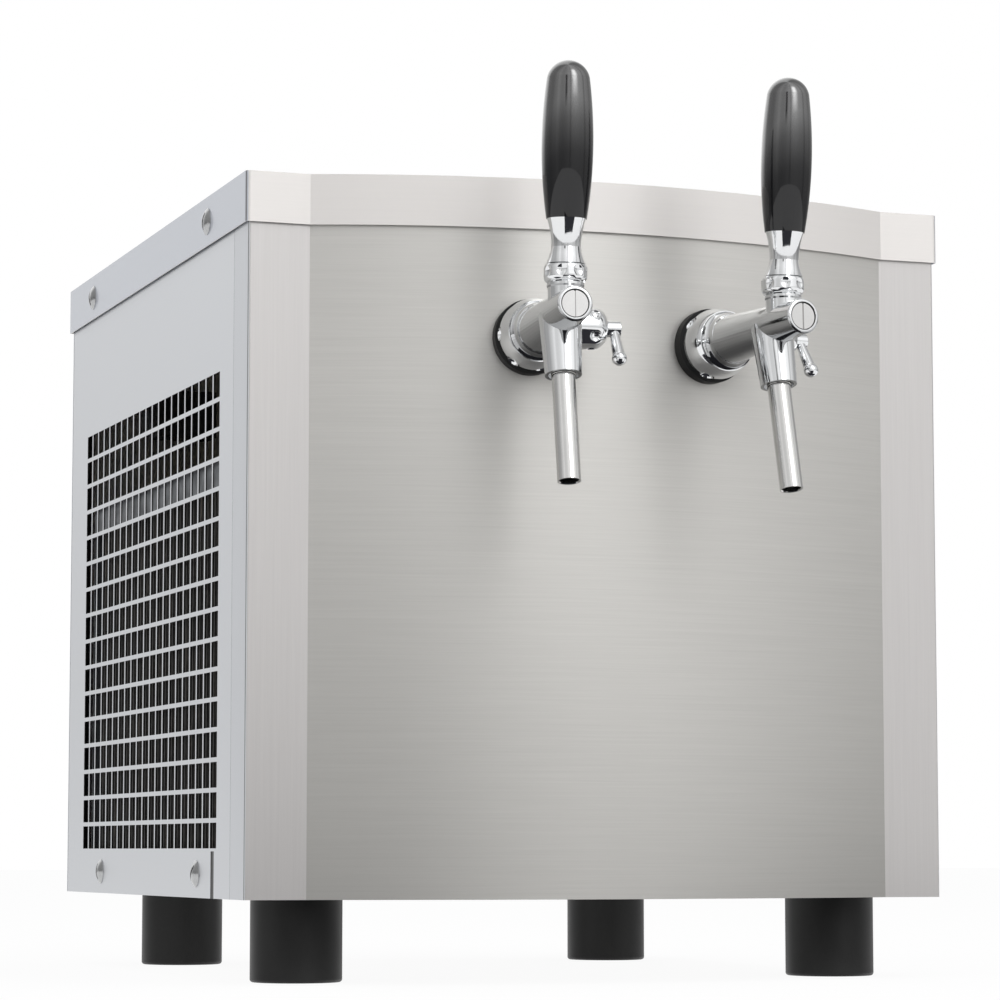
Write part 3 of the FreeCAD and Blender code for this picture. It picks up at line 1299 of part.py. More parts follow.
def make_controls():
    """Thermostat, switch and cable gland; in these frames +z points out of the rear panel."""
    rear = turned(1, 0, 0, "-90")
    thermostat = new_body("thermostat")
    box = rectangle("0 - thermostat_wide / 2", "0 - thermostat_tall / 2", "thermostat_wide / 2",
                    "thermostat_tall / 2")
    pad(thermostat, "XY_Plane", [box, circle("0", "0", "knob_shaft / 2 + slip_fit")], "thermostat_deep",
        "0 - sheet - thermostat_deep")
    place(thermostat, shifted("knob_x", "body_depth", "control_z"), rear)
    keep("thermostat", thermostat)

    knob = new_body("thermostat_knob")
    shaft_end = "0 - sheet - thermostat_deep + knob_shaft_short"
    upright(knob, [
        ("0", shaft_end),
        ("knob_shaft / 2", shaft_end),
        ("knob_shaft / 2", "knob_off_panel"),
        ("knob_radius", "knob_off_panel"),
        ("knob_radius", "knob_skirt_tall"),
        ("knob_radius - knob_step_in", "knob_step_at"),
        ("knob_radius - knob_grip_in", "knob_deep - knob_edge"),
        ("knob_radius - knob_grip_in - knob_edge", "knob_deep", "knob_edge", 1),
        ("0", "knob_deep"),
    ])
    mark_end = "knob_radius - knob_mark_in"
    mark = rectangle("0 - knob_mark_wide / 2", f"{mark_end} - knob_mark_long", "knob_mark_wide / 2", mark_end)
    pocket(knob, "XY_Plane", [mark], "knob_mark_deep", "knob_deep")
    flute = pocket(knob, "XY_Plane", [circle("flute_at", "0", "flute_radius")], "knob_deep",
                   "knob_deep + flute_end")
    round_pattern(knob, flute, "Z_Axis", "flute_count")
    place(knob, shifted("knob_x", "body_depth", "control_z"), rear)
    keep("thermostat_knob", knob)

    switch = new_body("power_switch")
    bezel = rectangle("0 - switch_wide / 2", "0 - switch_tall / 2", "switch_wide / 2", "switch_tall / 2")
    pad(switch, "XY_Plane", [bezel], "switch_bezel")
    inside = "switch_hole_wide / 2 - switch_fit"
    tall = "switch_hole_tall / 2 - switch_fit"
    pad(switch, "XY_Plane", [rectangle(f"0 - ({inside})", f"0 - ({tall})", inside, tall)],
        "switch_deep + switch_bezel / 2", "0 - switch_deep")
    well_x = "rocker_wide / 2 + rocker_side_gap"
    well_y = "rocker_tall / 2 + rocker_end_gap"
    well = rectangle(f"0 - ({well_x})", f"0 - ({well_y})", well_x, well_y)
    pocket(switch, "XY_Plane", [well], "switch_well", "switch_bezel")
    pocket(switch, "YZ_Plane", [circle("0", "0 - rocker_sunk", "rocker_pin + slip_fit")],
           "rocker_wide + 2 * rocker_pin_hole", "rocker_wide / 2 + rocker_pin_hole")
    place(switch, shifted("switch_x", "body_depth", "control_z"), rear)
    keep("power_switch", switch)

    rocker = new_body("switch_rocker")
    pad(rocker, "YZ_Plane", [[
        ("0 - rocker_tall / 2", "0 - rocker_under"),
        ("rocker_tall / 2", "0 - rocker_under"),
        ("rocker_tall / 2", "rocker_side_tall"),
        ("rocker_tall / 2 - rocker_edge_in", "rocker_edge_tall"),
        ("rocker_edge_in - rocker_tall / 2", "rocker_edge_tall", "rocker_dish", -1),
        ("0 - rocker_tall / 2", "rocker_side_tall"),
    ]], "rocker_wide", middle=True)
    pad(rocker, "YZ_Plane", [circle("0", "0", "rocker_pin")], "rocker_wide + 2 * rocker_pin_reach", middle=True)
    place(rocker, shifted("switch_x", "body_depth", "control_z"), rear, shifted("0", "0", "0 - rocker_sunk"),
          turned(1, 0, 0, "rocker_tilt"))
    keep("switch_rocker", rocker)

    gland = new_body("cord_gland")
    pad(gland, "XY_Plane", [hexagon("0", "0", "gland_hex")], "gland_hex_thick")
    upright(gland, [
        ("gland_bore / 2", "0 - sheet - gland_tail"),
        ("gland_thread / 2", "0 - sheet - gland_tail"),
        ("gland_thread / 2", "gland_hex_thick / 2"),
        ("gland_thread / 2 + gland_dome_out", "gland_hex_thick"),
        ("gland_thread / 2 + gland_dome_out", "gland_dome_low"),
        ("gland_bore / 2 + gland_lip", "gland_dome_high", "gland_dome_curve", 1),
        ("gland_bore / 2", "gland_dome_high"),
    ])
    pocket(gland, "XY_Plane", [circle("0", "0", "gland_bore / 2")])
    place(gland, shifted("gland_x", "body_depth", "gland_z"), rear)
    keep("cord_gland", gland)


def make_gasket(side, prefix):
    """The rubber ring is pressed onto the curved panel, so the panel's face is cut out of its back."""
    ring = new_body(f"{prefix}_gasket_ring")
    lathe(ring, [
        ("shank_bore", "0 - gasket_back"),
        ("gasket_diameter / 2", "0 - gasket_back"),
        ("gasket_diameter / 2", "gasket_thick - gasket_edge"),
        ("gasket_diameter / 2 - gasket_edge", "gasket_thick", "gasket_edge", 1),
        ("shank_bore", "gasket_thick"),
    ])
    place(ring, *in_tap(side))
    face = doc.addObject("Part::Cylinder", f"{prefix}_panel_face")
    face.setExpression("Radius", bound("front_radius"))
    face.setExpression("Height", bound("body_height"))
    place(face, shifted("0", "front_centre", "0"))
    gasket = doc.addObject("Part::Cut", f"{prefix}_gasket")
    gasket.Base = ring
    gasket.Tool = face
    keep(f"{prefix}_gasket", gasket)


def make_rosette(side, prefix):
    body = new_body(f"{prefix}_rosette")
    lathe(body, [
        ("shank_bore", "gasket_thick"),
        ("rosette_diameter / 2", "gasket_thick"),
        ("rosette_diameter / 2", "gasket_thick + rosette_edge"),
        ("rosette_front_diameter / 2", "rosette_front", "rosette_curve", 1),
        ("flange_diameter / 2 + seat_fit", "rosette_front"),
        ("flange_diameter / 2 + seat_fit", "flange_back"),
        ("shank_bore", "flange_back"),
    ])
    dimple_at = "rosette_diameter / 2 + rosette_dimple_radius - rosette_dimple_depth"
    dimple = primitive(body, "SubtractiveSphere", {"Radius": "rosette_dimple_radius"},
                       turned(0, 1, 0, f"rosette_turn_{prefix}"),
                       shifted("0", "0 - gasket_thick - rosette_edge - rosette_dimple_out", dimple_at))
    round_pattern(body, dimple, "Y_Axis", "rosette_dimples")
    place(body, *in_tap(side))
    keep(f"{prefix}_rosette", body)


def make_tap_body(side, prefix):
    """Shank, bell and barrel in one turning, with a neck on top, a holder below and a boss at the side."""
    body = new_body(f"{prefix}_tap_body")
    lathe(body, [
        ("0", "shank_end"),
        ("shank_diameter / 2", "shank_end"),
        ("shank_diameter / 2", "flange_back"),
        ("flange_diameter / 2", "flange_back"),
        ("flange_diameter / 2", "flange_back + flange_thick"),
        ("barrel_back / 2", "bell_front", "bell_radius", -1),
        ("barrel_front / 2", "edge_start"),
        ("edge_radius", "barrel_length", "barrel_edge", 1),
        ("0", "barrel_length"),
    ])
    primitive(body, "AdditiveCylinder", {"Radius": "neck_diameter / 2", "Height": "neck_top"},
              shifted("0", "0 - neck_at", "0"))
    collar_top = "pivot_height + top_nut_low - collar_gap"
    collar_low = f"{collar_top} - collar_thick"
    for low, first, last in ((f"{collar_low} - collar_slope", "neck_diameter", "collar_diameter"),
                             (f"{collar_top} - collar_slope", "collar_diameter", "neck_diameter")):
        primitive(body, "AdditiveCone", {"Radius1": f"{first} / 2", "Radius2": f"{last} / 2",
                                         "Height": "collar_slope"}, shifted("0", "0 - neck_at", low))
    primitive(body, "AdditiveCylinder", {"Radius": "collar_diameter / 2",
                                         "Height": "collar_thick - collar_slope"},
              shifted("0", "0 - neck_at", collar_low))
    down = (shifted("0", "0 - holder_at", "0"), turned(1, 0, 0, "180 - holder_lean"))
    primitive(body, "AdditiveCone", {"Radius1": "holder_top_diameter / 2", "Radius2": "holder_diameter / 2",
                                     "Height": "holder_length"}, *down)
    across = (shifted("0", "0 - side_at", "0"), turned(0, 1, 0, "90"))
    primitive(body, "AdditiveCylinder", {"Radius": "boss_diameter / 2", "Height": "boss_reach"}, *across)
    lathe_cut(body, [
        ("0", "shank_end - cut_over"),
        ("inlet_passage / 2", "shank_end - cut_over"),
        ("inlet_passage / 2", "cone_seat_back"),
        ("cone_seat_diameter / 2", "cone_seat_front"),
        ("barrel_bore / 2", "cone_seat_front"),
        ("barrel_bore / 2", "plug_back"),
        ("plug_diameter / 2", "plug_back"),
        ("plug_diameter / 2", "barrel_length - plug_chamfer"),
        ("plug_diameter / 2 + plug_chamfer", "barrel_length"),
        ("plug_diameter / 2 + plug_chamfer", "barrel_length + cut_over"),
        ("0", "barrel_length + cut_over"),
    ])
    primitive(body, "SubtractiveCylinder", {"Radius": "ball_radius + ball_fit",
                                            "Height": "neck_top + cut_over"},
              shifted("0", "0 - neck_at", "0"))
    primitive(body, "SubtractiveCylinder", {"Radius": "spout_bore / 2", "Height": "holder_length"}, *down)
    primitive(body, "SubtractiveCylinder", {"Radius": "spout_collar / 2", "Height": "spout_seat + cut_over"},
              *down, shifted("0", "0", "holder_length - spout_seat"))
    primitive(body, "SubtractiveCylinder", {"Radius": "holder_recess / 2",
                                            "Height": "holder_recess_depth + cut_over"},
              *down, shifted("0", "0", "holder_length - holder_recess_depth"))
    primitive(body, "SubtractiveCylinder", {"Radius": "side_shaft_radius + slip_fit",
                                            "Height": "boss_reach + cut_over"}, *across)
    place(body, *in_tap(side))
    keep(f"{prefix}_tap_body", body)


def make_front_plug(side, prefix):
    body = new_body(f"{prefix}_front_plug")
    lathe(body, [
        ("0", "plug_back"),
        ("plug_diameter / 2", "plug_back"),
        ("plug_diameter / 2", "plug_front - plug_bevel"),
        ("plug_diameter / 2 - plug_bevel", "plug_front"),
        ("0", "plug_front"),
    ])
    slot = rectangle("0 - plug_slot_width / 2", "0 - plug_diameter / 2", "plug_slot_width / 2",
                     "plug_diameter / 2")
    pocket(body, "XZ_Plane", [slot], "plug_slot_depth", "plug_front")
    place(body, *in_tap(side))
    keep(f"{prefix}_front_plug", body)


def make_spout(side, prefix):
    body = new_body(f"{prefix}_spout")
    top = "spout_seat - holder_length"
    low = "0 - holder_length - spout_reach"
    upright(body, [
        ("spout_bore / 2", top),
        ("spout_bore / 2", f"{low} + spout_bevel"),
        ("spout_bore / 2 + spout_bevel", low),
        ("spout_diameter / 2", low),
        ("spout_diameter / 2", "0 - holder_length"),
        ("spout_collar / 2", "0 - holder_length"),
        ("spout_collar / 2", top),
    ])
    place(body, *in_tap(side), shifted("0", "0 - holder_at", "0"), turned(1, 0, 0, "0 - holder_lean"))
    keep(f"{prefix}_spout", body)


def make_top_nut(side, prefix):
    body = new_body(f"{prefix}_top_nut")
    out = "top_nut_diameter / 2"
    upright(body, [
        ("neck_diameter / 2", "top_nut_low"),
        (f"{out} - top_nut_foot_in", "top_nut_low"),
        (out, "top_nut_low + top_nut_foot_tall", "top_nut_foot_curve", 1),
        (out, "top_nut_high - top_nut_shoulder_tall"),
        (f"{out} - top_nut_shoulder_in", "top_nut_high", "top_nut_shoulder_curve", 1),
        (f"{out} - top_nut_crown_in", "top_nut_high"),
        ("top_nut_lip_radius", "neck_above_pivot + top_nut_lip_thick"),
        ("top_nut_lip_radius", "neck_above_pivot"),
        ("neck_diameter / 2", "neck_above_pivot"),
    ])
    dimple = primitive(body, "SubtractiveSphere", {"Radius": "top_nut_dimple_radius"},
                       turned(0, 0, 1, "180 / top_nut_dimples"),
                       shifted(f"{out} + top_nut_dimple_radius - top_nut_dimple_depth", "0",
                               "(top_nut_low + top_nut_high) / 2"))
    round_pattern(body, dimple, "Z_Axis", "top_nut_dimples")
    place(body, *in_tap(side), shifted("0", "0 - neck_at", "pivot_height"))
    keep(f"{prefix}_top_nut", body)


def make_handle(side, prefix):
    """Ball lever, ferrule and grip share one axis through the ball's centre."""
    leaning = in_tap(side) + (shifted("0", "0 - neck_at", "pivot_height"), turned(1, 0, 0, "handle_lean"))
    lever = new_body(f"{prefix}_ball_lever")
    primitive(lever, "AdditiveSphere", {"Radius": "ball_radius"})
    primitive(lever, "AdditiveCylinder", {"Radius": "stem_radius", "Height": "stem_height"})
    downwards = turned(1, 0, 0, "180")
    primitive(lever, "AdditiveCylinder", {"Radius": "pin_radius", "Height": "pin_reach"}, downwards)
    primitive(lever, "AdditiveSphere", {"Radius": "pin_ball_radius"}, shifted("0", "0", "0 - pin_reach"))
    place(lever, *leaning)
    keep(f"{prefix}_ball_lever", lever)

    ferrule = new_body(f"{prefix}_ferrule")
    upright(ferrule, [
        ("stem_radius", "cup_at_stem"),
        ("ferrule_rim_radius", "ferrule_low", "cup_radius", -1),
        ("ferrule_waist_radius", "ferrule_waist", "ferrule_low_curve", -1),
        ("ferrule_top_radius", "ferrule_high", "ferrule_high_curve", -1),
        ("ferrule_stud_radius", "ferrule_high"),
        ("ferrule_stud_radius", "ferrule_high + ferrule_stud_long"),
        ("0", "ferrule_high + ferrule_stud_long"),
        ("0", "stem_height + stud_room"),
        ("stem_radius", "stem_height + stud_room"),
    ])
    place(ferrule, *leaning)
    keep(f"{prefix}_ferrule", ferrule)

    grip = new_body(f"{prefix}_grip")
    low = "ferrule_high"
    upright(grip, [
        ("ferrule_stud_radius", low),
        ("grip_low_radius", low),
        ("grip_shoulder_radius", f"{low} + grip_shoulder", "grip_side_curve", 1),
        ("0", f"{low} + grip_long", "grip_dome_radius", 1),
        ("0", f"{low} + ferrule_stud_long + stud_room"),
        ("ferrule_stud_radius", f"{low} + ferrule_stud_long + stud_room"),
    ])
    place(grip, *leaning)
    keep(f"{prefix}_grip", grip)


def make_piston(side, prefix):
    """Spool in the barrel: the lever's pin ball sits between its two flanges."""
    body = new_body(f"{prefix}_piston")
    front_land = "front_land_back + front_land_thick"
    rear_land = "rear_land_back + rear_land_thick"
    lathe(body, [
        ("0", "rear_land_back"),
        ("land_radius", "rear_land_back"),
        ("land_radius", rear_land),
        ("piston_stem_radius", f"{rear_land} + land_taper"),
        ("piston_stem_radius", "pin_at - fork_half - piston_flange_thick"),
        ("piston_flange_radius", "pin_at - fork_half - piston_flange_thick"),
        ("piston_flange_radius", "pin_at - fork_half"),
        ("piston_stem_radius", "pin_at - fork_half"),
        ("piston_stem_radius", "pin_at + fork_half"),
        ("piston_flange_radius", "pin_at + fork_half"),
        ("piston_flange_radius", "pin_at + fork_half + piston_flange_thick"),
        ("piston_stem_radius", "pin_at + fork_half + piston_flange_thick"),
        ("piston_stem_radius", "front_land_back"),
        ("land_radius", "front_land_back"),
        ("land_radius", front_land),
        ("0", front_land),
    ])
    place(body, *in_tap(side))
    keep(f"{prefix}_piston", body)


def make_side_nut(side, prefix):
    body = new_body(f"{prefix}_side_nut")
    out = "side_nut_diameter / 2"
    sideways(body, [
        ("side_nut_low", "boss_diameter / 2"),
        ("side_nut_low", f"{out} - side_nut_edge_in"),
        ("side_nut_low + side_nut_edge_tall", out, "side_nut_edge_curve", -1),
        ("side_nut_full", out),
        ("side_nut_high", "side_nut_nose_radius", "side_nut_curve", -1),
        ("side_nut_high", "side_shaft_radius + side_nut_room"),
        ("boss_reach + boss_room", "side_shaft_radius + side_nut_room"),
        ("boss_reach + boss_room", "boss_diameter / 2"),
    ])
    dimple = primitive(body, "SubtractiveSphere", {"Radius": "side_nut_dimple_radius"},
                       shifted("side_nut_full", "0", f"{out} + side_nut_dimple_radius - side_nut_dimple_depth"))
    round_pattern(body, dimple, "X_Axis", "side_nut_dimples")
    place(body, *in_tap(side), shifted("0", "0 - side_at", "0"))
    keep(f"{prefix}_side_nut", body)


def make_side_lever(side, prefix):
    """The flow lever turns in the boss, and its crank pin slides the flow cone."""
    body = new_body(f"{prefix}_side_lever")
    sideways(body, [
        ("side_shaft_start", "0"),
        ("side_shaft_start", "side_shaft_radius"),
        ("side_nut_high + side_knob_gap", "side_shaft_radius"),
        ("side_nut_high + side_knob_gap", "side_knob_radius"),
        ("side_knob_end - side_knob_bevel", "side_knob_radius"),
        ("side_knob_end", "side_knob_radius - side_knob_bevel", "side_knob_bevel", -1),
        ("side_knob_end", "0"),
    ])
    hang = (shifted("side_lever_at", "0", "0"), turned(1, 0, 0, "180"))
    primitive(body, "AdditiveCone", {"Radius1": "side_lever_root_radius", "Radius2": "side_lever_tip_radius",
                                     "Height": "side_lever_length"}, *hang)
    primitive(body, "AdditiveSphere", {"Radius": "side_lever_ball_radius"},
              shifted("side_lever_at", "0", "0 - side_lever_length"))
    crank = circle("crank_throw * sin(side_lever_lean)", "0 - crank_throw * cos(side_lever_lean)",
                   "crank_pin_radius")
    pad(body, "YZ_Plane", [crank], "side_shaft_start + crank_pin_root - crank_pin_end", "crank_pin_end")
    place(body, *in_tap(side), shifted("0", "0 - side_at", "0"), turned(1, 0, 0, "0 - side_lever_lean"))
    keep(f"{prefix}_side_lever", body)


def make_flow_cone(side, prefix):
    body = new_body(f"{prefix}_flow_cone")
    guide_back = "side_at + crank_half"
    lathe(body, [
        ("0", "cone_tip"),
        ("cone_tip_radius", "cone_tip"),
        ("cone_base_radius", "cone_collar_back"),
        ("cone_base_radius", "side_at - crank_half"),
        ("cone_waist_radius", "side_at - crank_half"),
        ("cone_waist_radius", guide_back),
        ("land_radius", guide_back),
        ("land_radius", f"{guide_back} + cone_guide_thick"),
        ("0", f"{guide_back} + cone_guide_thick"),
    ])
    place(body, *in_tap(side))
    keep(f"{prefix}_flow_cone", body)


def make_lock_nuts():
    nuts = []
    for side in (-1, 1):
        nut = new_body(f"lock_nut_{side + 2}")
        pad(nut, "XZ_Plane", [hexagon("0", "0", "lock_nut_hex"), circle("0", "0", "shank_diameter / 2")],
            "lock_nut_thick", "0 - sheet - lock_nut_gap - lock_nut_thick")
        place(nut, *in_tap(side))
        nuts.append(nut)
    group("lock_nuts", nuts)


def check_and_write():
    """Recompute, refuse any failed object or bad shape, and write each node's STEP file."""
    doc.recompute()
    for item in doc.Objects:
        if "Invalid" in item.State or "Error" in item.State:
            raise RuntimeError(f"{item.Name} is {item.State}")
    os.makedirs("parts", exist_ok=True)
    for name, piece in nodes.items():
        shape = piece.Shape
        if shape.isNull() or not shape.isValid() or shape.Volume <= 0:
            raise RuntimeError(f"{name} has no valid shape")
        shape.exportStep(os.path.join("parts", name + ".step"))
        print(f"{name}: {len(shape.Solids)} solid(s), {shape.Volume:.0f} mm3")


make_base_tray()
make_front_panel()
make_side_panel("left_side_panel", -1)
make_side_panel("right_side_panel", 1)
make_rear_panel()
make_lid()
make_screws()
make_rear_screws()
make_feet()
make_condenser()
make_fan()
make_compressor()
make_cold_block()
make_lines()
make_inlets()
make_controls()
for tap_side, tap_prefix in ((-1, "left"), (1, "right")):
    make_gasket(tap_side, tap_prefix)
    make_rosette(tap_side, tap_prefix)
    make_tap_body(tap_side, tap_prefix)
    make_front_plug(tap_side, tap_prefix)
    make_spout(tap_side, tap_prefix)
    make_top_nut(tap_side, tap_prefix)
    make_handle(tap_side, tap_prefix)
    make_piston(tap_side, tap_prefix)
    make_side_nut(tap_side, tap_prefix)
    make_side_lever(tap_side, tap_prefix)
    make_flow_cone(tap_side, tap_prefix)
make_lock_nuts()
check_and_write()
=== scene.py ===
"""Look of the draft beer cooler: materials, fine parts, light and camera. Metres, in the row frame."""
import math
import random

import bpy
from mathutils import Matrix, Vector


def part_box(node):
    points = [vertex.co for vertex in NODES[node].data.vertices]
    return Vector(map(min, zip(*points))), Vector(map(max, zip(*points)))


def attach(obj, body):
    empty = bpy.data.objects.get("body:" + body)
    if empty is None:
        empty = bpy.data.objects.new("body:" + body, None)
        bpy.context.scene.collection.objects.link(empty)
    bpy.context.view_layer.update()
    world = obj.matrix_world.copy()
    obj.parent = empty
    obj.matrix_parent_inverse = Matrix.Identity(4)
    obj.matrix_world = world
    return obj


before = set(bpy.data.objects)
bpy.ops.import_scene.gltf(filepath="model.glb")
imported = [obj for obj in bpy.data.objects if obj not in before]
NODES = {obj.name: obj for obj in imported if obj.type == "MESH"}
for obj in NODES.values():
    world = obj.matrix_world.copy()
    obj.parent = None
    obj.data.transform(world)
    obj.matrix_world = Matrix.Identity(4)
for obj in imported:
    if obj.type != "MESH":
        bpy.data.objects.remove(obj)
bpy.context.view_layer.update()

# Places on the cabinet

CABINET_DEPTH = 0.490
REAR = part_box("rear_panel")[1][1]
FRONT = REAR - CABINET_DEPTH
FLOOR_TO_CABINET = 0.051
CREASE = 0.1914  # from the middle to the line where the convex part of the front meets a flat band
SLIT_SHADE_BAND = (FRONT + 0.0715, FRONT + 0.0785)  # band of painted shade in front of the slit below the grille
SLIT_TOP = FLOOR_TO_CABINET + 0.029


# Shader helpers

def fresh_tree(owner, output_type):
    """Node tree of a material or world, emptied, and its new output node."""
    owner.use_nodes = True
    tree = owner.node_tree
    tree.nodes.clear()
    return tree, tree.nodes.new(output_type)


def new_material(name):
    material = bpy.data.materials.new(name)
    tree, output = fresh_tree(material, "ShaderNodeOutputMaterial")
    shader = tree.nodes.new("ShaderNodeBsdfPrincipled")
    tree.links.new(shader.outputs["BSDF"], output.inputs["Surface"])
    return material, tree, shader


def math_node(tree, operation, first, second=None):
    node = tree.nodes.new("ShaderNodeMath")
    node.operation = operation
    for socket, given in zip(node.inputs, (first, second)):
        if given is None:
            continue
        if isinstance(given, (int, float)):
            socket.default_value = given
        else:
            tree.links.new(given, socket)
    return node.outputs[0]


def times(tree, first, second):
    return math_node(tree, "MULTIPLY", first, second)


def halved(tree, given):
    """A value of -1 to 1, brought to 0 to 1 for a ramp."""
    return math_node(tree, "ADD", times(tree, given, 0.5), 0.5)


def between(tree, given, low, high):
    above = math_node(tree, "GREATER_THAN", given, low)
    return times(tree, above, math_node(tree, "LESS_THAN", given, high))


def axes(tree, vector):
    split = tree.nodes.new("ShaderNodeSeparateXYZ")
    tree.links.new(vector, split.inputs["Vector"])
    return split.outputs["X"], split.outputs["Y"], split.outputs["Z"]


def object_place(tree):
    """The object's own coordinates, in metres."""
    return tree.nodes.new("ShaderNodeTexCoord").outputs["Object"]


def facing(tree, kind="True Normal"):
    """The three parts of the direction that the face looks in."""
    return axes(tree, tree.nodes.new("ShaderNodeNewGeometry").outputs[kind])


def facing_sideways(tree):
    """How far the face turns towards the left or right, 0 to 1."""
    return math_node(tree, "ABSOLUTE", facing(tree)[0])


def stretched_place(tree, scale):
    mapping = tree.nodes.new("ShaderNodeMapping")
    mapping.inputs["Scale"].default_value = scale
    tree.links.new(object_place(tree), mapping.inputs["Vector"])
    return mapping.outputs["Vector"]


def noise(tree, scale, detail=2.0, rough=0.5):
    """Noise with scale cells to the metre: one number, or one for each axis."""
    node = tree.nodes.new("ShaderNodeTexNoise")
    node.inputs["Scale"].default_value = 1.0
    node.inputs["Detail"].default_value = detail
    node.inputs["Roughness"].default_value = rough
    scale = scale if isinstance(scale, tuple) else (scale,) * 3
    tree.links.new(stretched_place(tree, scale), node.inputs["Vector"])
    return node.outputs["Fac"]


def cells(tree, scale):
    node = tree.nodes.new("ShaderNodeTexVoronoi")
    node.inputs["Scale"].default_value = 1.0
    tree.links.new(stretched_place(tree, (scale,) * 3), node.inputs["Vector"])
    return node.outputs["Distance"]


def ramp(tree, factor, *stops):
    """Colour ramp with (place, colour) stops; a colour may be one grey number."""
    node = tree.nodes.new("ShaderNodeValToRGB")
    elements = node.color_ramp.elements
    elements[0].position = stops[0][0]
    elements[1].position = stops[-1][0]
    for stop in stops[1:-1]:
        elements.new(stop[0])
    for index, (place, colour) in enumerate(stops):
        grey = isinstance(colour, (int, float))
        elements[index].color = (colour,) * 3 + (1,) if grey else tuple(colour) + (1,)
    tree.links.new(factor, node.inputs["Fac"])
    return node.outputs["Color"]


def colour_mix(tree, factor, first, second, blend="MIX"):
    """Mix of two colours; each may be a socket or three numbers."""
    node = tree.nodes.new("ShaderNodeMix")
    node.data_type = "RGBA"
    node.blend_type = blend
    sockets = [socket for socket in node.inputs if socket.enabled]
    for socket, given in zip(sockets, (factor, first, second)):
        if isinstance(given, bpy.types.NodeSocket):
            tree.links.new(given, socket)
        elif isinstance(given, tuple):
            socket.default_value = given + (1,)
        else:
            socket.default_value = given
    return next(socket for socket in node.outputs if socket.enabled)


def scaled(colour, factor):
    return tuple(min(part * factor, 1) for part in colour)


def paint(tree, shader, colour):
    tree.links.new(colour, shader.inputs["Base Color"])


def bump(tree, shader, height, distance, strength):
    node = tree.nodes.new("ShaderNodeBump")
    node.inputs["Distance"].default_value = distance
    node.inputs["Strength"].default_value = strength
    tree.links.new(height, node.inputs["Height"])
    tree.links.new(node.outputs["Normal"], shader.inputs["Normal"])


def rough_range(tree, shader, factor, low, high):
    node = tree.nodes.new("ShaderNodeMapRange")
    node.inputs["To Min"].default_value = low
    node.inputs["To Max"].default_value = high
    tree.links.new(factor, node.inputs["Value"])
    tree.links.new(node.outputs["Result"], shader.inputs["Roughness"])


# Steel sheets: the grain's cells to the metre along X, Y and Z, coarse and fine

LEVEL_GRAIN = ((9, 9, 700), (22, 22, 2600))
UPRIGHT_GRAIN = ((700, 700, 9), (2600, 2600, 22))
GRAIN_DEPTH = 0.00002
GRAIN_STRENGTH = 0.35
ANISOTROPY = 0.3
LEVEL_BRUSHING = 0.25  # turn of the stretched gloss, as a share of a full turn

SIDE_TONE = (0.675, 0.69, 0.715)
# painted shade inside the holes of punched sheets
HOLE_WALL_SHADE = (0.06, 0.06, 0.06)
# painted shade beside the slit below the grille
SLIT_SHADE_TONE = (0.035, 0.035, 0.035)
# painted shade that darkens the front's middle towards its lower corners: its tone, its share, and the
# height where it ends
CORNER_SHADE_TONE = (0.27, 0.265, 0.25)
CORNER_SHADE_SHARE = 0.42
CORNER_SHADE_TOP = 0.36

# How far a face is turned sideways: from where it counts as a side, and where the bends at the corners lie,
# which are painted dark as shade
SIDEWAYS = 0.5
LID_BEND_SHADE = (0.75, 0.96)
FRONT_BEND_SHADE = (0.85, 0.985)


def brushed_colour(tree, base, grain, depth):
    """Base colour with the grain's light and dark lines."""
    coarse, fine = grain
    lines = noise(tree, coarse, 3.0, 0.6)
    hair = noise(tree, fine, 2.0, 0.5)
    both = math_node(tree, "ADD", times(tree, lines, 0.6), times(tree, hair, 0.4))
    return ramp(tree, both, (0.3, scaled(base, 1 - depth)), (0.7, scaled(base, 1 + depth))), both


def finish_sheet(tree, shader, colour, lines, metallic, low, high):
    """What all brushed sheets share: the grain's roughness and relief, and gloss stretched along it."""
    paint(tree, shader, colour)
    shader.inputs["Metallic"].default_value = metallic
    rough_range(tree, shader, lines, low, high)
    tangent = tree.nodes.new("ShaderNodeTangent")
    tangent.direction_type = "RADIAL"
    tangent.axis = "Z"
    tree.links.new(tangent.outputs["Tangent"], shader.inputs["Tangent"])
    shader.inputs["Anisotropic"].default_value = ANISOTROPY
    shader.inputs["Anisotropic Rotation"].default_value = LEVEL_BRUSHING
    bump(tree, shader, lines, GRAIN_DEPTH, GRAIN_STRENGTH)


def sheet_steel(name, base, rough, depth, punched=False, slit=False):
    """Stainless sheet brushed level. A punched sheet has the walls of its holes, which face along Y or Z,
    painted near black as shade inside the holes; a slit one has a band of painted shade beside its slit,
    near the foot."""
    material, tree, shader = new_material(name)
    colour, lines = brushed_colour(tree, base, LEVEL_GRAIN, depth)
    cloud = times(tree, noise(tree, 5), 0.10)
    colour = colour_mix(tree, cloud, colour, scaled(base, 0.88))
    if punched:
        # painted shade: the walls of the holes, which face along Y or Z, are painted near black
        wall_shade = math_node(tree, "LESS_THAN", facing_sideways(tree), SIDEWAYS)
        colour = colour_mix(tree, wall_shade, colour, HOLE_WALL_SHADE)
    # painted shade: a dark band beside the slit, near the foot
    if slit:
        _, along, height = axes(tree, object_place(tree))
        slit_shade = times(tree, between(tree, along, *SLIT_SHADE_BAND), math_node(tree, "LESS_THAN", height, SLIT_TOP))
        colour = colour_mix(tree, slit_shade, colour, SLIT_SHADE_TONE)
    finish_sheet(tree, shader, colour, lines, 1.0, rough - 0.05, rough + 0.05)
    return material


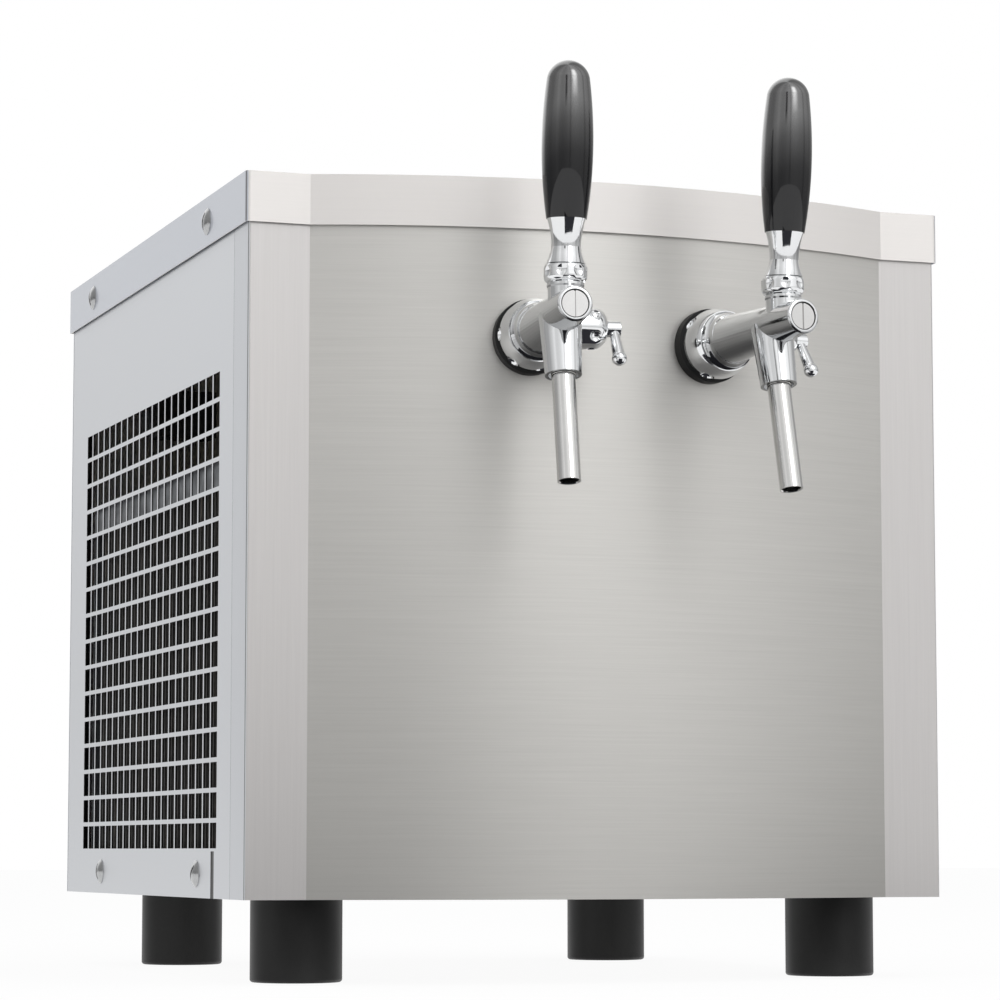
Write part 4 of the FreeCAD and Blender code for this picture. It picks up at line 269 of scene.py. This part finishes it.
def lid_steel():
    """The front of the skirt is light and warm; its sides are painted greyer and bluish as shade where they
    face sideways, and the corner bends take a dark line of painted shade.
    """
    material, tree, shader = new_material("lid_steel")
    sideways = facing_sideways(tree)
    front, lines = brushed_colour(tree, (0.735, 0.712, 0.692), LEVEL_GRAIN, 0.015)
    # painted shade: faces turned sideways are painted greyer and bluer than the front
    side = math_node(tree, "GREATER_THAN", sideways, SIDEWAYS)
    colour = colour_mix(tree, side, front, (0.53, 0.555, 0.605))
    # painted shade: a dark line along the corner bends
    colour = colour_mix(tree, between(tree, sideways, *LID_BEND_SHADE), colour, (0.24, 0.24, 0.25))
    finish_sheet(tree, shader, colour, lines, 0.6, 0.50, 0.60)
    shader.inputs["Coat Weight"].default_value = 0.6
    shader.inputs["Coat Roughness"].default_value = 0.08
    return material


def front_steel():
    """The middle is brushed level and greyer, with painted shade that makes it a little darker towards its
    lower corners; the two flat bands are brushed upright and lighter. The parts folded back at the sides are
    painted in the side sheets' lighter, bluer tone as painted light where they face sideways, with painted
    shade as a dark line along the bend."""
    material, tree, shader = new_material("front_steel")
    across, _, height = axes(tree, object_place(tree))
    away = math_node(tree, "ABSOLUTE", across)
    band = math_node(tree, "GREATER_THAN", away, CREASE)
    not_band = math_node(tree, "SUBTRACT", 1, band)
    middle, level = brushed_colour(tree, (0.58, 0.57, 0.547), LEVEL_GRAIN, 0.05)
    # painted shade: the middle turns darker towards its lower corners
    low = ramp(tree, height, (FLOOR_TO_CABINET, 1.0), (CORNER_SHADE_TOP, 0.0))
    outer = ramp(tree, away, (0.02, 0.15), (CREASE, 1.0))
    middle = colour_mix(tree, times(tree, times(tree, low, outer), CORNER_SHADE_SHARE), middle, CORNER_SHADE_TONE)
    bands, upright = brushed_colour(tree, (0.57, 0.555, 0.547), UPRIGHT_GRAIN, 0.035)
    sideways = facing_sideways(tree)
    colour = colour_mix(tree, band, middle, bands)
    # painted light: faces turned sideways take the side sheets' lighter, bluer tone
    colour = colour_mix(tree, math_node(tree, "GREATER_THAN", sideways, SIDEWAYS), colour, SIDE_TONE)
    # painted shade: a dark line along the bends
    colour = colour_mix(tree, between(tree, sideways, *FRONT_BEND_SHADE), colour, (0.20, 0.20, 0.20))
    lines = math_node(tree, "ADD", times(tree, level, not_band), times(tree, upright, band))
    finish_sheet(tree, shader, colour, lines, 0.8, 0.40, 0.48)
    tree.links.new(times(tree, not_band, LEVEL_BRUSHING), shader.inputs["Anisotropic Rotation"])
    return material


# Other metals

CHROME_TONE = (0.86, 0.87, 0.88)
# painted shade: the tap chrome's tone, darker on faces that look down
UNDERSIDE_SHADE = ((0.10, (0.30, 0.305, 0.31)), (0.36, (0.42, 0.425, 0.43)), (0.47, (0.74, 0.75, 0.76)),
             (0.60, CHROME_TONE))


def chrome(name, base, rough, shade=None):
    """Polished chrome plate with faint wipe marks. shade gives painted shade: the tone from faces that look
    down, 0, painted darker, to faces that look up, 1."""
    material, tree, shader = new_material(name)
    marks = noise(tree, (90, 90, 60), 4.0, 0.6)
    # painted shade: the tone follows how far the face looks up
    if shade:
        tone = ramp(tree, halved(tree, facing(tree)[2]), *shade)
    else:
        tone = ramp(tree, marks, (0.2, scaled(base, 0.93)), (0.8, base))
    paint(tree, shader, tone)
    shader.inputs["Metallic"].default_value = 1.0
    rough_range(tree, shader, marks, rough, rough + 0.06)
    bump(tree, shader, noise(tree, 260), 0.00001, 0.3)
    return material


def turned_steel(name, base, rough):
    """Machined or stamped steel with a soft random grain."""
    material, tree, shader = new_material(name)
    grain = noise(tree, 420, 4.0, 0.65)
    paint(tree, shader, ramp(tree, grain, (0.25, scaled(base, 0.82)), (0.75, base)))
    shader.inputs["Metallic"].default_value = 1.0
    rough_range(tree, shader, grain, rough - 0.06, rough + 0.08)
    bump(tree, shader, grain, 0.00006, 0.4)
    return material


def zinc(name, light, dark):
    """Galvanised sheet with its spangle."""
    material, tree, shader = new_material(name)
    spangle = cells(tree, 110)
    paint(tree, shader, ramp(tree, spangle, (0.0, light), (0.9, dark)))
    shader.inputs["Metallic"].default_value = 0.85
    rough_range(tree, shader, spangle, 0.36, 0.52)
    bump(tree, shader, noise(tree, 300, 3.0), 0.00008, 0.4)
    return material


def copper():
    material, tree, shader = new_material("copper_pipe")
    tarnish = noise(tree, 45, 5.0, 0.6)
    paint(tree, shader, ramp(tree, tarnish, (0.3, (0.45, 0.20, 0.11)), (0.62, (0.80, 0.44, 0.29))))
    shader.inputs["Metallic"].default_value = 1.0
    rough_range(tree, shader, tarnish, 0.42, 0.24)
    bump(tree, shader, noise(tree, 500), 0.00003, 0.4)
    return material


def fin_black():
    """Lacquered condenser fins, with lighter brown streaks in places."""
    material, tree, shader = new_material("fin_lacquer")
    streaks = noise(tree, (160, 420, 16), 4.0, 0.7)
    paint(tree, shader, ramp(tree, streaks, (0.35, (0.010, 0.010, 0.010)), (0.58, (0.045, 0.042, 0.038)),
                             (0.74, (0.20, 0.17, 0.14))))
    shader.inputs["Metallic"].default_value = 0.35
    rough_range(tree, shader, streaks, 0.30, 0.62)
    bump(tree, shader, streaks, 0.0002, 0.5)
    return material


def threaded(name, base, pitch, rough):
    """Chromed fitting whose thread runs along Y."""
    material, tree, shader = new_material(name)
    wave = tree.nodes.new("ShaderNodeTexWave")
    wave.wave_type = "BANDS"
    wave.bands_direction = "Y"
    wave.wave_profile = "TRI"
    wave.inputs["Scale"].default_value = 2 * math.pi / (20 * pitch)
    tree.links.new(stretched_place(tree, (1, 1, 1)), wave.inputs["Vector"])
    marks = noise(tree, 120, 3.0)
    paint(tree, shader, ramp(tree, marks, (0.2, scaled(base, 0.85)), (0.8, base)))
    shader.inputs["Metallic"].default_value = 1.0
    rough_range(tree, shader, marks, rough, rough + 0.1)
    bump(tree, shader, wave.outputs["Fac"], 0.0004, 0.6)
    return material


# Plastic, rubber, lacquer and foam

def plastic(name, base, rough, grain_scale, grain_depth, coat=0.0, variation=0.15, gloss=0.5):
    """Moulded plastic, rubber or paint with a fine surface grain."""
    material, tree, shader = new_material(name)
    cloud = noise(tree, 35, 3.0)
    paint(tree, shader, ramp(tree, cloud, (0.3, base), (0.7, scaled(base, 1 + variation))))
    rough_range(tree, shader, noise(tree, 60, 3.0), rough - 0.04, rough + 0.06)
    shader.inputs["Specular IOR Level"].default_value = gloss
    shader.inputs["Coat Weight"].default_value = coat
    shader.inputs["Coat Roughness"].default_value = 0.03
    bump(tree, shader, noise(tree, grain_scale), grain_depth, 0.5)
    return material


def lacquered_grip():
    """Black lacquer, with painted shade where the grip tapers downwards: its coat and gloss are made weaker
    there.
    """
    material, tree, shader = new_material("gloss_grip")
    level = halved(tree, facing(tree, "Normal")[2])
    # painted shade: coat and gloss fall off where the grip faces downwards
    coat = ramp(tree, level, (0.462, 0.30), (0.492, 0.55), (0.515, 1.0))
    gloss = ramp(tree, level, (0.455, 0.10), (0.480, 0.30), (0.510, 0.75))
    tree.links.new(coat, shader.inputs["Coat Weight"])
    tree.links.new(gloss, shader.inputs["Specular IOR Level"])
    shader.inputs["Base Color"].default_value = (0.005, 0.005, 0.006, 1)
    shader.inputs["Coat Roughness"].default_value = 0.03
    shader.inputs["Coat IOR"].default_value = 2.1
    rough_range(tree, shader, noise(tree, 60, 3.0), 0.20, 0.28)
    bump(tree, shader, noise(tree, 500), 0.00001, 0.5)
    return material


def foam():
    material, tree, shader = new_material("foam_block")
    cloud = noise(tree, 14, 4.0)
    paint(tree, shader, ramp(tree, cloud, (0.3, (0.72, 0.60, 0.34)), (0.7, (0.86, 0.76, 0.50))))
    shader.inputs["Roughness"].default_value = 0.85
    bump(tree, shader, cells(tree, 420), 0.0006, 0.7)
    return material


MATERIALS = {
    "side_steel": sheet_steel("side_steel", SIDE_TONE, 0.42, 0.012, punched=True),
    "left_side_steel": sheet_steel("left_side_steel", SIDE_TONE, 0.42, 0.012, punched=True, slit=True),
    "rear_steel": sheet_steel("rear_steel", SIDE_TONE, 0.42, 0.012),
    "tray_steel": sheet_steel("tray_steel", (0.62, 0.62, 0.61), 0.36, 0.03),
    "lid_steel": lid_steel(),
    "front": front_steel(),
    "chrome": chrome("polished_chrome", CHROME_TONE, 0.05),
    "tap_chrome": chrome("tap_chrome", CHROME_TONE, 0.05, UNDERSIDE_SHADE),
    "satin_chrome": chrome("satin_chrome", (0.75, 0.745, 0.735), 0.13),
    "plug_chrome": chrome("plug_chrome", (0.70, 0.695, 0.69), 0.06),
    "screws": turned_steel("screw_steel", (0.52, 0.525, 0.53), 0.20),
    "zinc": zinc("galvanised", (0.40, 0.42, 0.44), (0.26, 0.27, 0.29)),
    "dull_zinc": zinc("dull_galvanised", (0.150, 0.160, 0.172), (0.085, 0.090, 0.098)),
    "fin": fin_black(),
    "fan": turned_steel("fan_sheet", (0.66, 0.66, 0.68), 0.38),
    "motor": plastic("black_enamel", (0.012, 0.012, 0.013), 0.28, 180, 0.00012, coat=0.4),
    "rubber": plastic("black_rubber", (0.007, 0.007, 0.007), 0.40, 900, 0.00005, gloss=0.32),
    "gasket": plastic("gasket_rubber", (0.010, 0.010, 0.010), 0.5, 900, 0.00006, gloss=0.25),
    "grip": lacquered_grip(),
    "black_plastic": plastic("moulded_black", (0.018, 0.018, 0.019), 0.46, 1400, 0.00006),
    "rocker": plastic("rocker_red", (0.42, 0.014, 0.010), 0.30, 900, 0.00002, coat=0.3),
    "white_plastic": plastic("acetal", (0.78, 0.78, 0.75), 0.32, 700, 0.00002, variation=0.03),
    "cast": turned_steel("cast_block", (0.55, 0.56, 0.57), 0.5),
    "foam": foam(),
    "copper": copper(),
    "tube": turned_steel("line_steel", (0.68, 0.69, 0.70), 0.22),
    "brass": turned_steel("brass_nut", (0.70, 0.50, 0.22), 0.26),
    "thread": threaded("inlet_chrome", (0.78, 0.78, 0.79), 0.0018, 0.16),
}

# Nodes without an entry are polished chrome
LOOKS = {
    "lid": "lid_steel", "base_tray": "tray_steel", "rear_panel": "rear_steel",
    "left_side_panel": "left_side_steel", "right_side_panel": "side_steel", "front_panel": "front",
    "lid_screws": "screws", "side_screws": "screws", "rear_screws": "screws", "foot_bolts": "screws",
    "feet": "rubber", "compressor_grommets": "gasket",
    "condenser_frame": "dull_zinc", "fan_shroud": "zinc", "fan_bracket": "zinc", "condenser_fins": "fin",
    "fan_rotor": "fan", "fan_motor": "motor", "compressor": "motor", "cold_block": "cast",
    "insulation": "foam", "beer_lines": "tube", "discharge_line": "copper", "suction_line": "copper",
    "liquid_line": "copper", "inlet_fittings": "thread", "lock_nuts": "brass",
    "thermostat": "black_plastic", "thermostat_knob": "black_plastic", "power_switch": "black_plastic",
    "cord_gland": "black_plastic", "switch_rocker": "rocker",
}
TAP_LOOKS = {"gasket": "gasket", "grip": "grip", "tap_body": "tap_chrome", "spout": "satin_chrome",
             "front_plug": "plug_chrome", "piston": "white_plastic", "flow_cone": "white_plastic"}
for side in ("left", "right"):
    for part, look in TAP_LOOKS.items():
        LOOKS[f"{side}_{part}"] = look
for name, node in NODES.items():
    for slot in node.material_slots:
        slot.material = MATERIALS[LOOKS.get(name, "chrome")]


# Fine parts

def add_piece(name, corners, faces, look):
    """A fixed piece of the cabinet from its corners and faces."""
    mesh = bpy.data.meshes.new(name)
    mesh.from_pydata(corners, [], faces)
    mesh.materials.append(MATERIALS[look])
    piece = bpy.data.objects.new(name, mesh)
    bpy.context.scene.collection.objects.link(piece)
    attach(piece, "cabinet")
    return piece


FIN_PITCH = 0.003
FIN_THICKNESS = 0.0003
FIN_INSET = 0.0003
FIN_STEPS = 14  # pieces along a fin's height
FIN_LEAN = 0.0004
FIN_WAVE = 0.00025
FIN_DENT = 0.0011
DENT_SHARE = 0.07


def fine_fins():
    """Slightly wavy fins with a few dents, between the condenser's own. They show through the grille."""
    low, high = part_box("condenser_fins")
    spare = random.Random(7)
    corners = []
    faces = []
    for k in range(1, int((high[1] - low[1]) / FIN_PITCH)):
        y = low[1] + FIN_PITCH * k
        start = len(corners)
        lean = spare.uniform(-FIN_LEAN, FIN_LEAN)
        for j in range(FIN_STEPS + 1):
            z = low[2] + (high[2] - low[2]) * j / FIN_STEPS
            wave = spare.uniform(-FIN_WAVE, FIN_WAVE)
            bend = spare.uniform(-FIN_DENT, FIN_DENT) if spare.random() < DENT_SHARE else wave
            corners.append((low[0] + FIN_INSET, y + lean + bend, z))
            corners.append((high[0] - FIN_INSET, y + lean + wave, z))
        for j in range(FIN_STEPS):
            a = start + 2 * j
            faces.append((a, a + 1, a + 3, a + 2))
    pack = add_piece("fine_fins", corners, faces, "fin")
    thick = pack.modifiers.new("thickness", "SOLIDIFY")
    thick.thickness = FIN_THICKNESS
    thick.offset = 0


fine_fins()

# Where each tap stands: across the front and its turn in degrees, then what both taps share
TAP_SPOTS = {"left": (-0.0600, -6.6), "right": (0.0582, 6.6)}
TAP_FOOT_OUT = 0.03103
TAP_HEIGHT = 0.3421
TAP_RISE = 1.9
BARREL_LENGTH = 0.1166

RING_DEPTH = 0.00062
RING_RADIUS = 0.00828
RING_THICKNESS = 0.00042
RING_AROUND = 64
RING_ACROSS = 12


def groove_shade_ring(side):
    """A small dark round ring in the groove between plug and tap body, put there as painted shade, which
    shows as a dark circle.
    """
    x, yaw = TAP_SPOTS[side]
    tap = (Matrix.Translation((x, FRONT - TAP_FOOT_OUT, FLOOR_TO_CABINET + TAP_HEIGHT))
           @ Matrix.Rotation(math.radians(yaw), 4, "Z") @ Matrix.Rotation(math.radians(-TAP_RISE), 4, "X"))
    out = BARREL_LENGTH - RING_DEPTH
    corners = []
    faces = []
    for j in range(RING_AROUND):
        turn = 2 * math.pi * j / RING_AROUND
        for k in range(RING_ACROSS):
            tilt = 2 * math.pi * k / RING_ACROSS
            reach = RING_RADIUS + RING_THICKNESS * math.cos(tilt)
            ahead = -out - RING_THICKNESS * math.sin(tilt)
            corner = (reach * math.cos(turn), ahead, reach * math.sin(turn))
            corners.append(tuple(tap @ Vector(corner)))
            here, after = j * RING_ACROSS, (j + 1) % RING_AROUND * RING_ACROSS
            beside = (k + 1) % RING_ACROSS
            faces.append((here + k, here + beside, after + beside, after + k))
    # painted shade: a dark ring that stands for the shade in the groove
    ring = add_piece(f"{side}_groove_shade_ring", corners, faces, "gasket")
    ring.data.shade_smooth()


groove_shade_ring("left")
groove_shade_ring("right")


# Camera, set to the photograph's view

scene = bpy.context.scene
LENS = 125.5
SENSOR = 36
CAMERA_PLACE = (-0.7791, FRONT - 2.0225, FLOOR_TO_CABINET + 0.0298)
CAMERA_UP = 5.734
CAMERA_TURN = -19.364
camera_data = bpy.data.cameras.new("camera")
camera_data.sensor_width = SENSOR
camera_data.lens = LENS
camera = bpy.data.objects.new("camera", camera_data)
camera.location = CAMERA_PLACE
camera.rotation_euler = (math.radians(90 + CAMERA_UP), 0, math.radians(CAMERA_TURN))
scene.collection.objects.link(camera)
scene.camera = camera


# World: white for the camera, a pale studio for gloss, and an even light for the rest.
# Tones by direction: degrees from the front towards the right, then height from straight down, 0, to up, 1.

WALLS = ((-178, 0.98), (-150, 0.90), (-135, 0.34), (-100, 0.34), (-86, 0.50), (-76, 0.56), (-70, 0.68),
         (-62, 0.68), (-58, 0.58), (-44, 0.56), (-30, 0.66), (-14, 0.84), (-9, 0.60), (-6, 0.60), (-2, 0.96),
         (14, 0.98), (26, 0.96), (40, 0.86), (52, 0.80), (58, 0.66), (61, 0.44), (64, 0.44), (68, 0.66),
         (86, 0.52), (98, 0.33), (135, 0.33), (150, 0.80), (178, 1.0))
RISE = ((0.30, 0.45), (0.47, 0.55), (0.51, 0.70), (0.56, 1.0), (0.62, 1.2), (0.78, 1.35), (0.95, 1.2))
STRIPE_ACROSS = ((-35, 0.0), (-32, 1.0), (-26, 1.0), (-23, 0.0))
STRIPE_HEIGHT = ((0.61, 0.0), (0.64, 1.0), (0.685, 1.0), (0.705, 0.0))
STRIPE_TONE = (0.06, 0.06, 0.06)
PANEL_ACROSS = ((-4, 0.0), (8, 0.9), (14, 1.0), (19, 0.9), (32, 0.0))
PANEL_HEIGHT = ((0.625, 0.0), (0.68, 1.0), (0.88, 1.0), (0.94, 0.0))
PANEL_TONE = 3.8
EVEN_LIGHT = (0.80, 0.80, 0.81)


def studio():
    world = bpy.data.worlds.new("studio")
    scene.world = world
    tree, output = fresh_tree(world, "ShaderNodeOutputWorld")
    background = tree.nodes.new("ShaderNodeBackground")
    tree.links.new(background.outputs["Background"], output.inputs["Surface"])
    background.inputs["Strength"].default_value = 1.0
    right, back, upward = axes(tree, tree.nodes.new("ShaderNodeTexCoord").outputs["Generated"])
    turn = math_node(tree, "ARCTAN2", right, times(tree, back, -1))
    around = math_node(tree, "ADD", times(tree, turn, 0.5 / math.pi), 0.5)
    height = halved(tree, upward)

    def ring(stops):
        return ramp(tree, around, *((0.5 + degrees / 360, tone) for degrees, tone in stops))

    plain = colour_mix(tree, 1.0, ring(WALLS), ramp(tree, height, *RISE), "MULTIPLY")
    stripe = times(tree, ring(STRIPE_ACROSS), ramp(tree, height, *STRIPE_HEIGHT))
    plain = colour_mix(tree, stripe, plain, STRIPE_TONE)
    panel = times(tree, ring(PANEL_ACROSS), ramp(tree, height, *PANEL_HEIGHT))
    gloss = tree.nodes.new("ShaderNodeVectorMath")
    gloss.operation = "ADD"
    tree.links.new(plain, gloss.inputs[0])
    tree.links.new(times(tree, panel, PANEL_TONE), gloss.inputs[1])
    light_path = tree.nodes.new("ShaderNodeLightPath")
    shiny = math_node(tree, "MAXIMUM", light_path.outputs["Is Glossy Ray"],
                      light_path.outputs["Is Transmission Ray"])
    seen = colour_mix(tree, shiny, EVEN_LIGHT, gloss.outputs[0])
    seen = colour_mix(tree, light_path.outputs["Is Camera Ray"], seen, (1.0, 1.0, 1.0))
    tree.links.new(seen, background.inputs["Color"])


studio()

MIDDLE = Vector((0, (FRONT + REAR) / 2, 0.3))  # what the lamps aim at


def softbox(name, place, width, height, power, colour=(1, 1, 1)):
    data = bpy.data.lights.new(name, "AREA")
    data.shape = "RECTANGLE"
    data.size = width
    data.size_y = height
    data.energy = power
    data.color = colour
    lamp = bpy.data.objects.new(name, data)
    lamp.location = place
    lamp.visible_glossy = False
    lamp.rotation_euler = (MIDDLE - Vector(place)).to_track_quat("-Z", "Y").to_euler()
    scene.collection.objects.link(lamp)


softbox("key", (1.3, FRONT - 2.2, 1.5), 1.6, 1.6, 9, (1.0, 0.985, 0.97))
softbox("fill", (-2.4, FRONT - 0.6, 1.1), 1.4, 1.6, 7, (0.97, 0.985, 1.0))
softbox("top", (0.2, FRONT - 0.4, 2.3), 1.8, 1.8, 16)


# Ground

def lay_down(name, outline, height):
    """A flat stage piece with its outline's (x, y) corners, and the tree and output of its new material."""
    mesh = bpy.data.meshes.new(name)
    mesh.from_pydata([(x, y, height) for x, y in outline], [], [tuple(range(len(outline)))])
    piece = bpy.data.objects.new(name, mesh)
    scene.collection.objects.link(piece)
    material = bpy.data.materials.new(name)
    mesh.materials.append(material)
    return piece, *fresh_tree(material, "ShaderNodeOutputMaterial")


FLOOR_REACH = 12.0
FLOOR_CORNERS = ((-1, -1), (1, -1), (1, 1), (-1, 1))
FLOOR_TONE = (0.86, 0.86, 0.86, 1)
FLOOR_GLOW = 0.93  # share of plain white that the camera, gloss and glass see; the rest takes the shadow


def make_floor():
    outline = [(across * FLOOR_REACH, along * FLOOR_REACH) for across, along in FLOOR_CORNERS]
    tree, output = lay_down("floor", outline, 0)[1:]
    matt = tree.nodes.new("ShaderNodeBsdfDiffuse")
    matt.inputs["Color"].default_value = FLOOR_TONE
    glow = tree.nodes.new("ShaderNodeEmission")
    glow.inputs["Color"].default_value = (1, 1, 1, 1)
    glow.inputs["Strength"].default_value = 1.0
    light_path = tree.nodes.new("ShaderNodeLightPath")
    shiny = math_node(tree, "MAXIMUM", light_path.outputs["Is Glossy Ray"],
                      light_path.outputs["Is Transmission Ray"])
    seen = math_node(tree, "MAXIMUM", light_path.outputs["Is Camera Ray"], shiny)
    blend = tree.nodes.new("ShaderNodeMixShader")
    tree.links.new(times(tree, seen, FLOOR_GLOW), blend.inputs[0])
    tree.links.new(matt.outputs[0], blend.inputs[1])
    tree.links.new(glow.outputs[0], blend.inputs[2])
    tree.links.new(blend.outputs[0], output.inputs["Surface"])


make_floor()

CARD_HEIGHT = 0.002
CARD_TONE = (0.03, 0.03, 0.035, 1)
# Across, and out from the front
CARD_OUTLINE = ((-0.52, 0.02), (-0.52, 0.24), (-0.22, 0.30), (-1.19, 1.9), (0.77, 1.9), (0.22, 0.30),
                (0.52, 0.24), (0.52, 0.02))


def make_card():
    """A dark card on the ground in front, below the picture's edge, that only polished surfaces mirror."""
    card, tree, output = lay_down("dark_card", [(x, FRONT - out) for x, out in CARD_OUTLINE], CARD_HEIGHT)
    black = tree.nodes.new("ShaderNodeEmission")
    black.inputs["Color"].default_value = CARD_TONE
    tree.links.new(black.outputs[0], output.inputs["Surface"])
    card.visible_camera = False
    card.visible_diffuse = False
    card.visible_shadow = False


make_card()

scene.view_settings.view_transform = "Standard"
